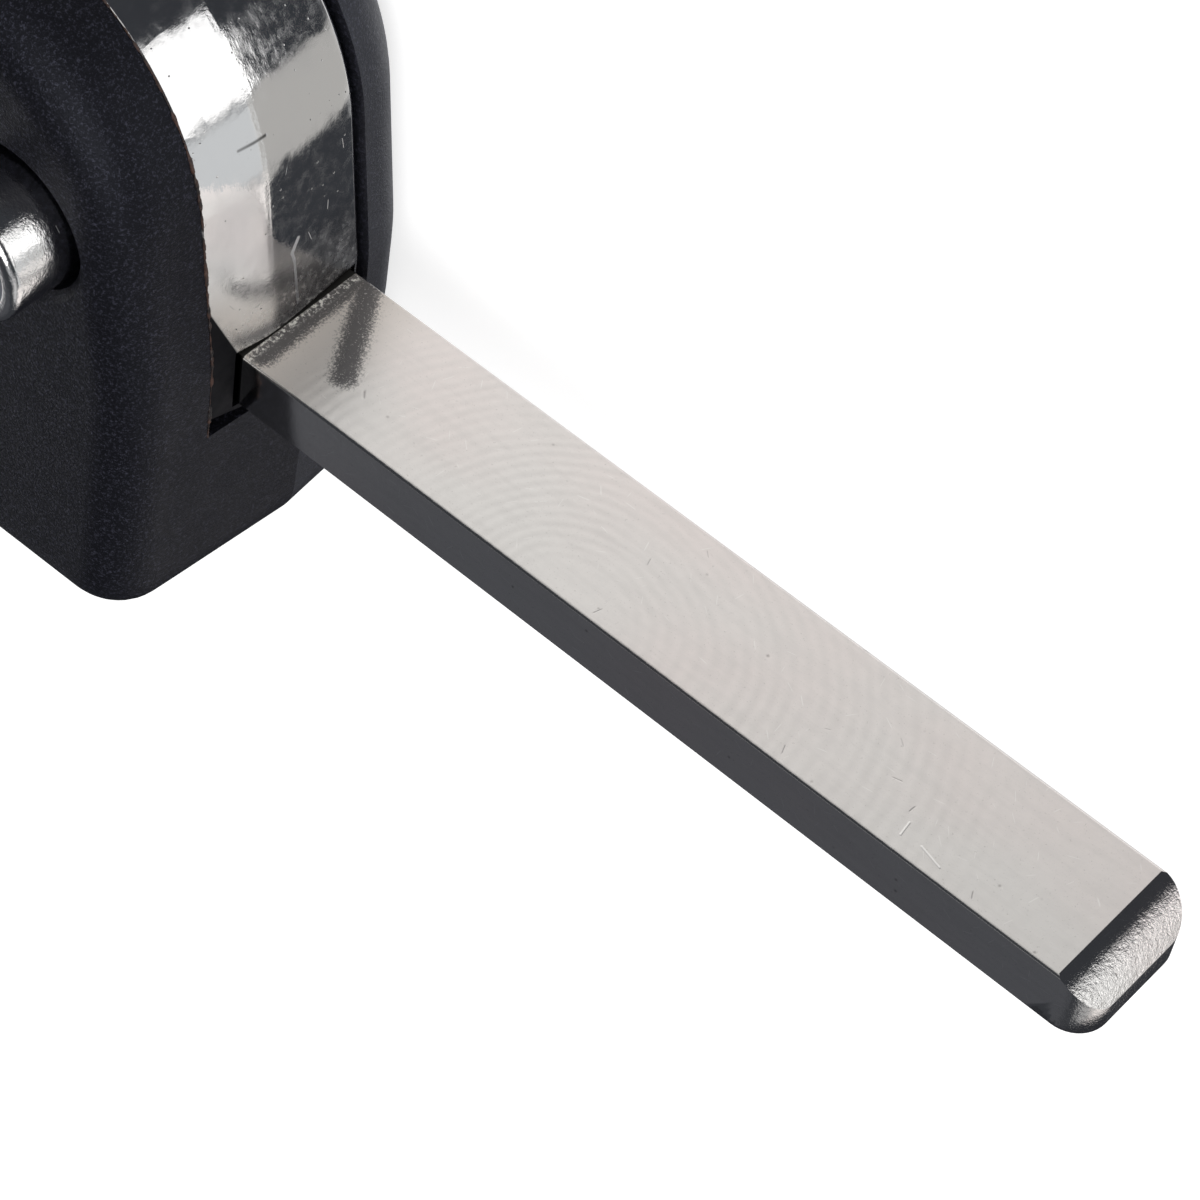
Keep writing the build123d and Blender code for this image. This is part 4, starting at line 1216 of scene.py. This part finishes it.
def make_world(scene):
    """White to the camera, even for matt surfaces, and a studio of cards for what mirrors it."""
    settings = scene.flip_key_studio
    world = bpy.data.worlds.new("Studio")
    scene.world = world
    world.use_nodes = True
    tree = world.node_tree
    tree.nodes.clear()
    direction = step(tree, "ShaderNodeTexCoord", out="Generated")
    cards = []
    for *sizes, strength, colour in STUDIO_CARDS:
        level = use("card", direction, **dict(zip(CARD_SIZES, sizes))) * (strength * settings.cards)
        cards.append(combine(level, level, level) * colour)
    light = sum(cards[1:], cards[0]) + STUDIO_BASE
    colours = (light, (settings.fill,) * 3 + (1,), WHITE)
    mirrored, even, seen = (step(tree, "ShaderNodeBackground", {"Color": colour}) for colour in colours)
    path = step(tree, "ShaderNodeLightPath")
    mixed = step(tree, "ShaderNodeMixShader", {0: path.also("Is Glossy Ray"), 1: even, 2: mirrored})
    mixed = step(tree, "ShaderNodeMixShader", {0: path.also("Is Camera Ray"), 1: mixed, 2: seen})
    tree.links.new(mixed.socket, tree.nodes.new("ShaderNodeOutputWorld").inputs["Surface"])


def make_lamp(scene):
    """One large soft light overhead."""
    data = bpy.data.lights.new("Key light", "AREA")
    data.shape = "DISK"
    data.size = KEY_LIGHT_SIZE
    data.energy = scene.flip_key_studio.key_power
    lamp = add_object("Key light", data)
    lamp.location = KEY_LIGHT_PLACE
    lamp.rotation_euler = (-KEY_LIGHT_PLACE).to_track_quat("-Z", "Y").to_euler()


def make_camera(scene):
    """The photograph's view."""
    data = bpy.data.cameras.new("Camera")
    data.lens = CAMERA_LENS
    data.sensor_width = CAMERA_SENSOR
    data.clip_start = CAMERA_NEAR
    camera = add_object("Camera", data)
    camera.location = CAMERA_PLACE
    aim = CAMERA_LOOK.to_track_quat("-Z", "Y")
    camera.rotation_mode = "QUATERNION"
    camera.rotation_quaternion = aim @ Quaternion((0, 0, 1), CAMERA_ROLL)
    scene.camera = camera


class FlipKeyPanel(Panel):
    """Lists what the key is made of"""

    bl_idname = "VIEW3D_PT_flip_key"
    bl_label = "Flip Key"
    bl_space_type = "VIEW_3D"
    bl_region_type = "UI"
    bl_category = "Flip Key"

    def draw(self, context):
        for group, (_, *operators) in ROWS.items():
            box = self.layout.box()
            settings = getattr(context.scene, group)
            for name in settings.bl_rna.properties.keys():
                if name not in ("rna_type", "name"):
                    box.prop(settings, name)
            for operator in operators:
                box.operator(operator.bl_idname)


# Each group of settings, with the operators that the panel lists under it
ROWS = {
    "flip_key_case": (CaseSettings, MakeCase, MakeFlash, MakeScrews, MakeSpring, DressInnerPieces),
    "flip_key_head": (HeadSettings, MakeHead, MakeButton),
    "flip_key_blade": (BladeSettings, MakeBlade),
    "flip_key_studio": (StudioSettings, SetStage),
}
CLASSES = [part for row in ROWS.values() for part in row] + [FlipKeyPanel]


def register():
    """Registers the settings, the operators and the panel."""
    for part in CLASSES:
        bpy.utils.register_class(part)
    for name, row in ROWS.items():
        setattr(bpy.types.Scene, name, PointerProperty(type=row[0]))


def unregister():
    """Takes them away again."""
    for name in ROWS:
        delattr(bpy.types.Scene, name)
    for part in reversed(CLASSES):
        bpy.utils.unregister_class(part)


def main():
    """Makes the whole key and its studio."""
    register()
    make_materials()
    bpy.ops.flip_key.make_case()
    bpy.ops.flip_key.make_flash()
    bpy.ops.flip_key.make_head()
    bpy.ops.flip_key.make_blade()
    bpy.ops.flip_key.make_button()
    bpy.ops.flip_key.make_spring()
    bpy.ops.flip_key.make_screws()
    bpy.ops.flip_key.dress_inner()
    bpy.ops.flip_key.set_stage()


if __name__ == "__main__":
    main()
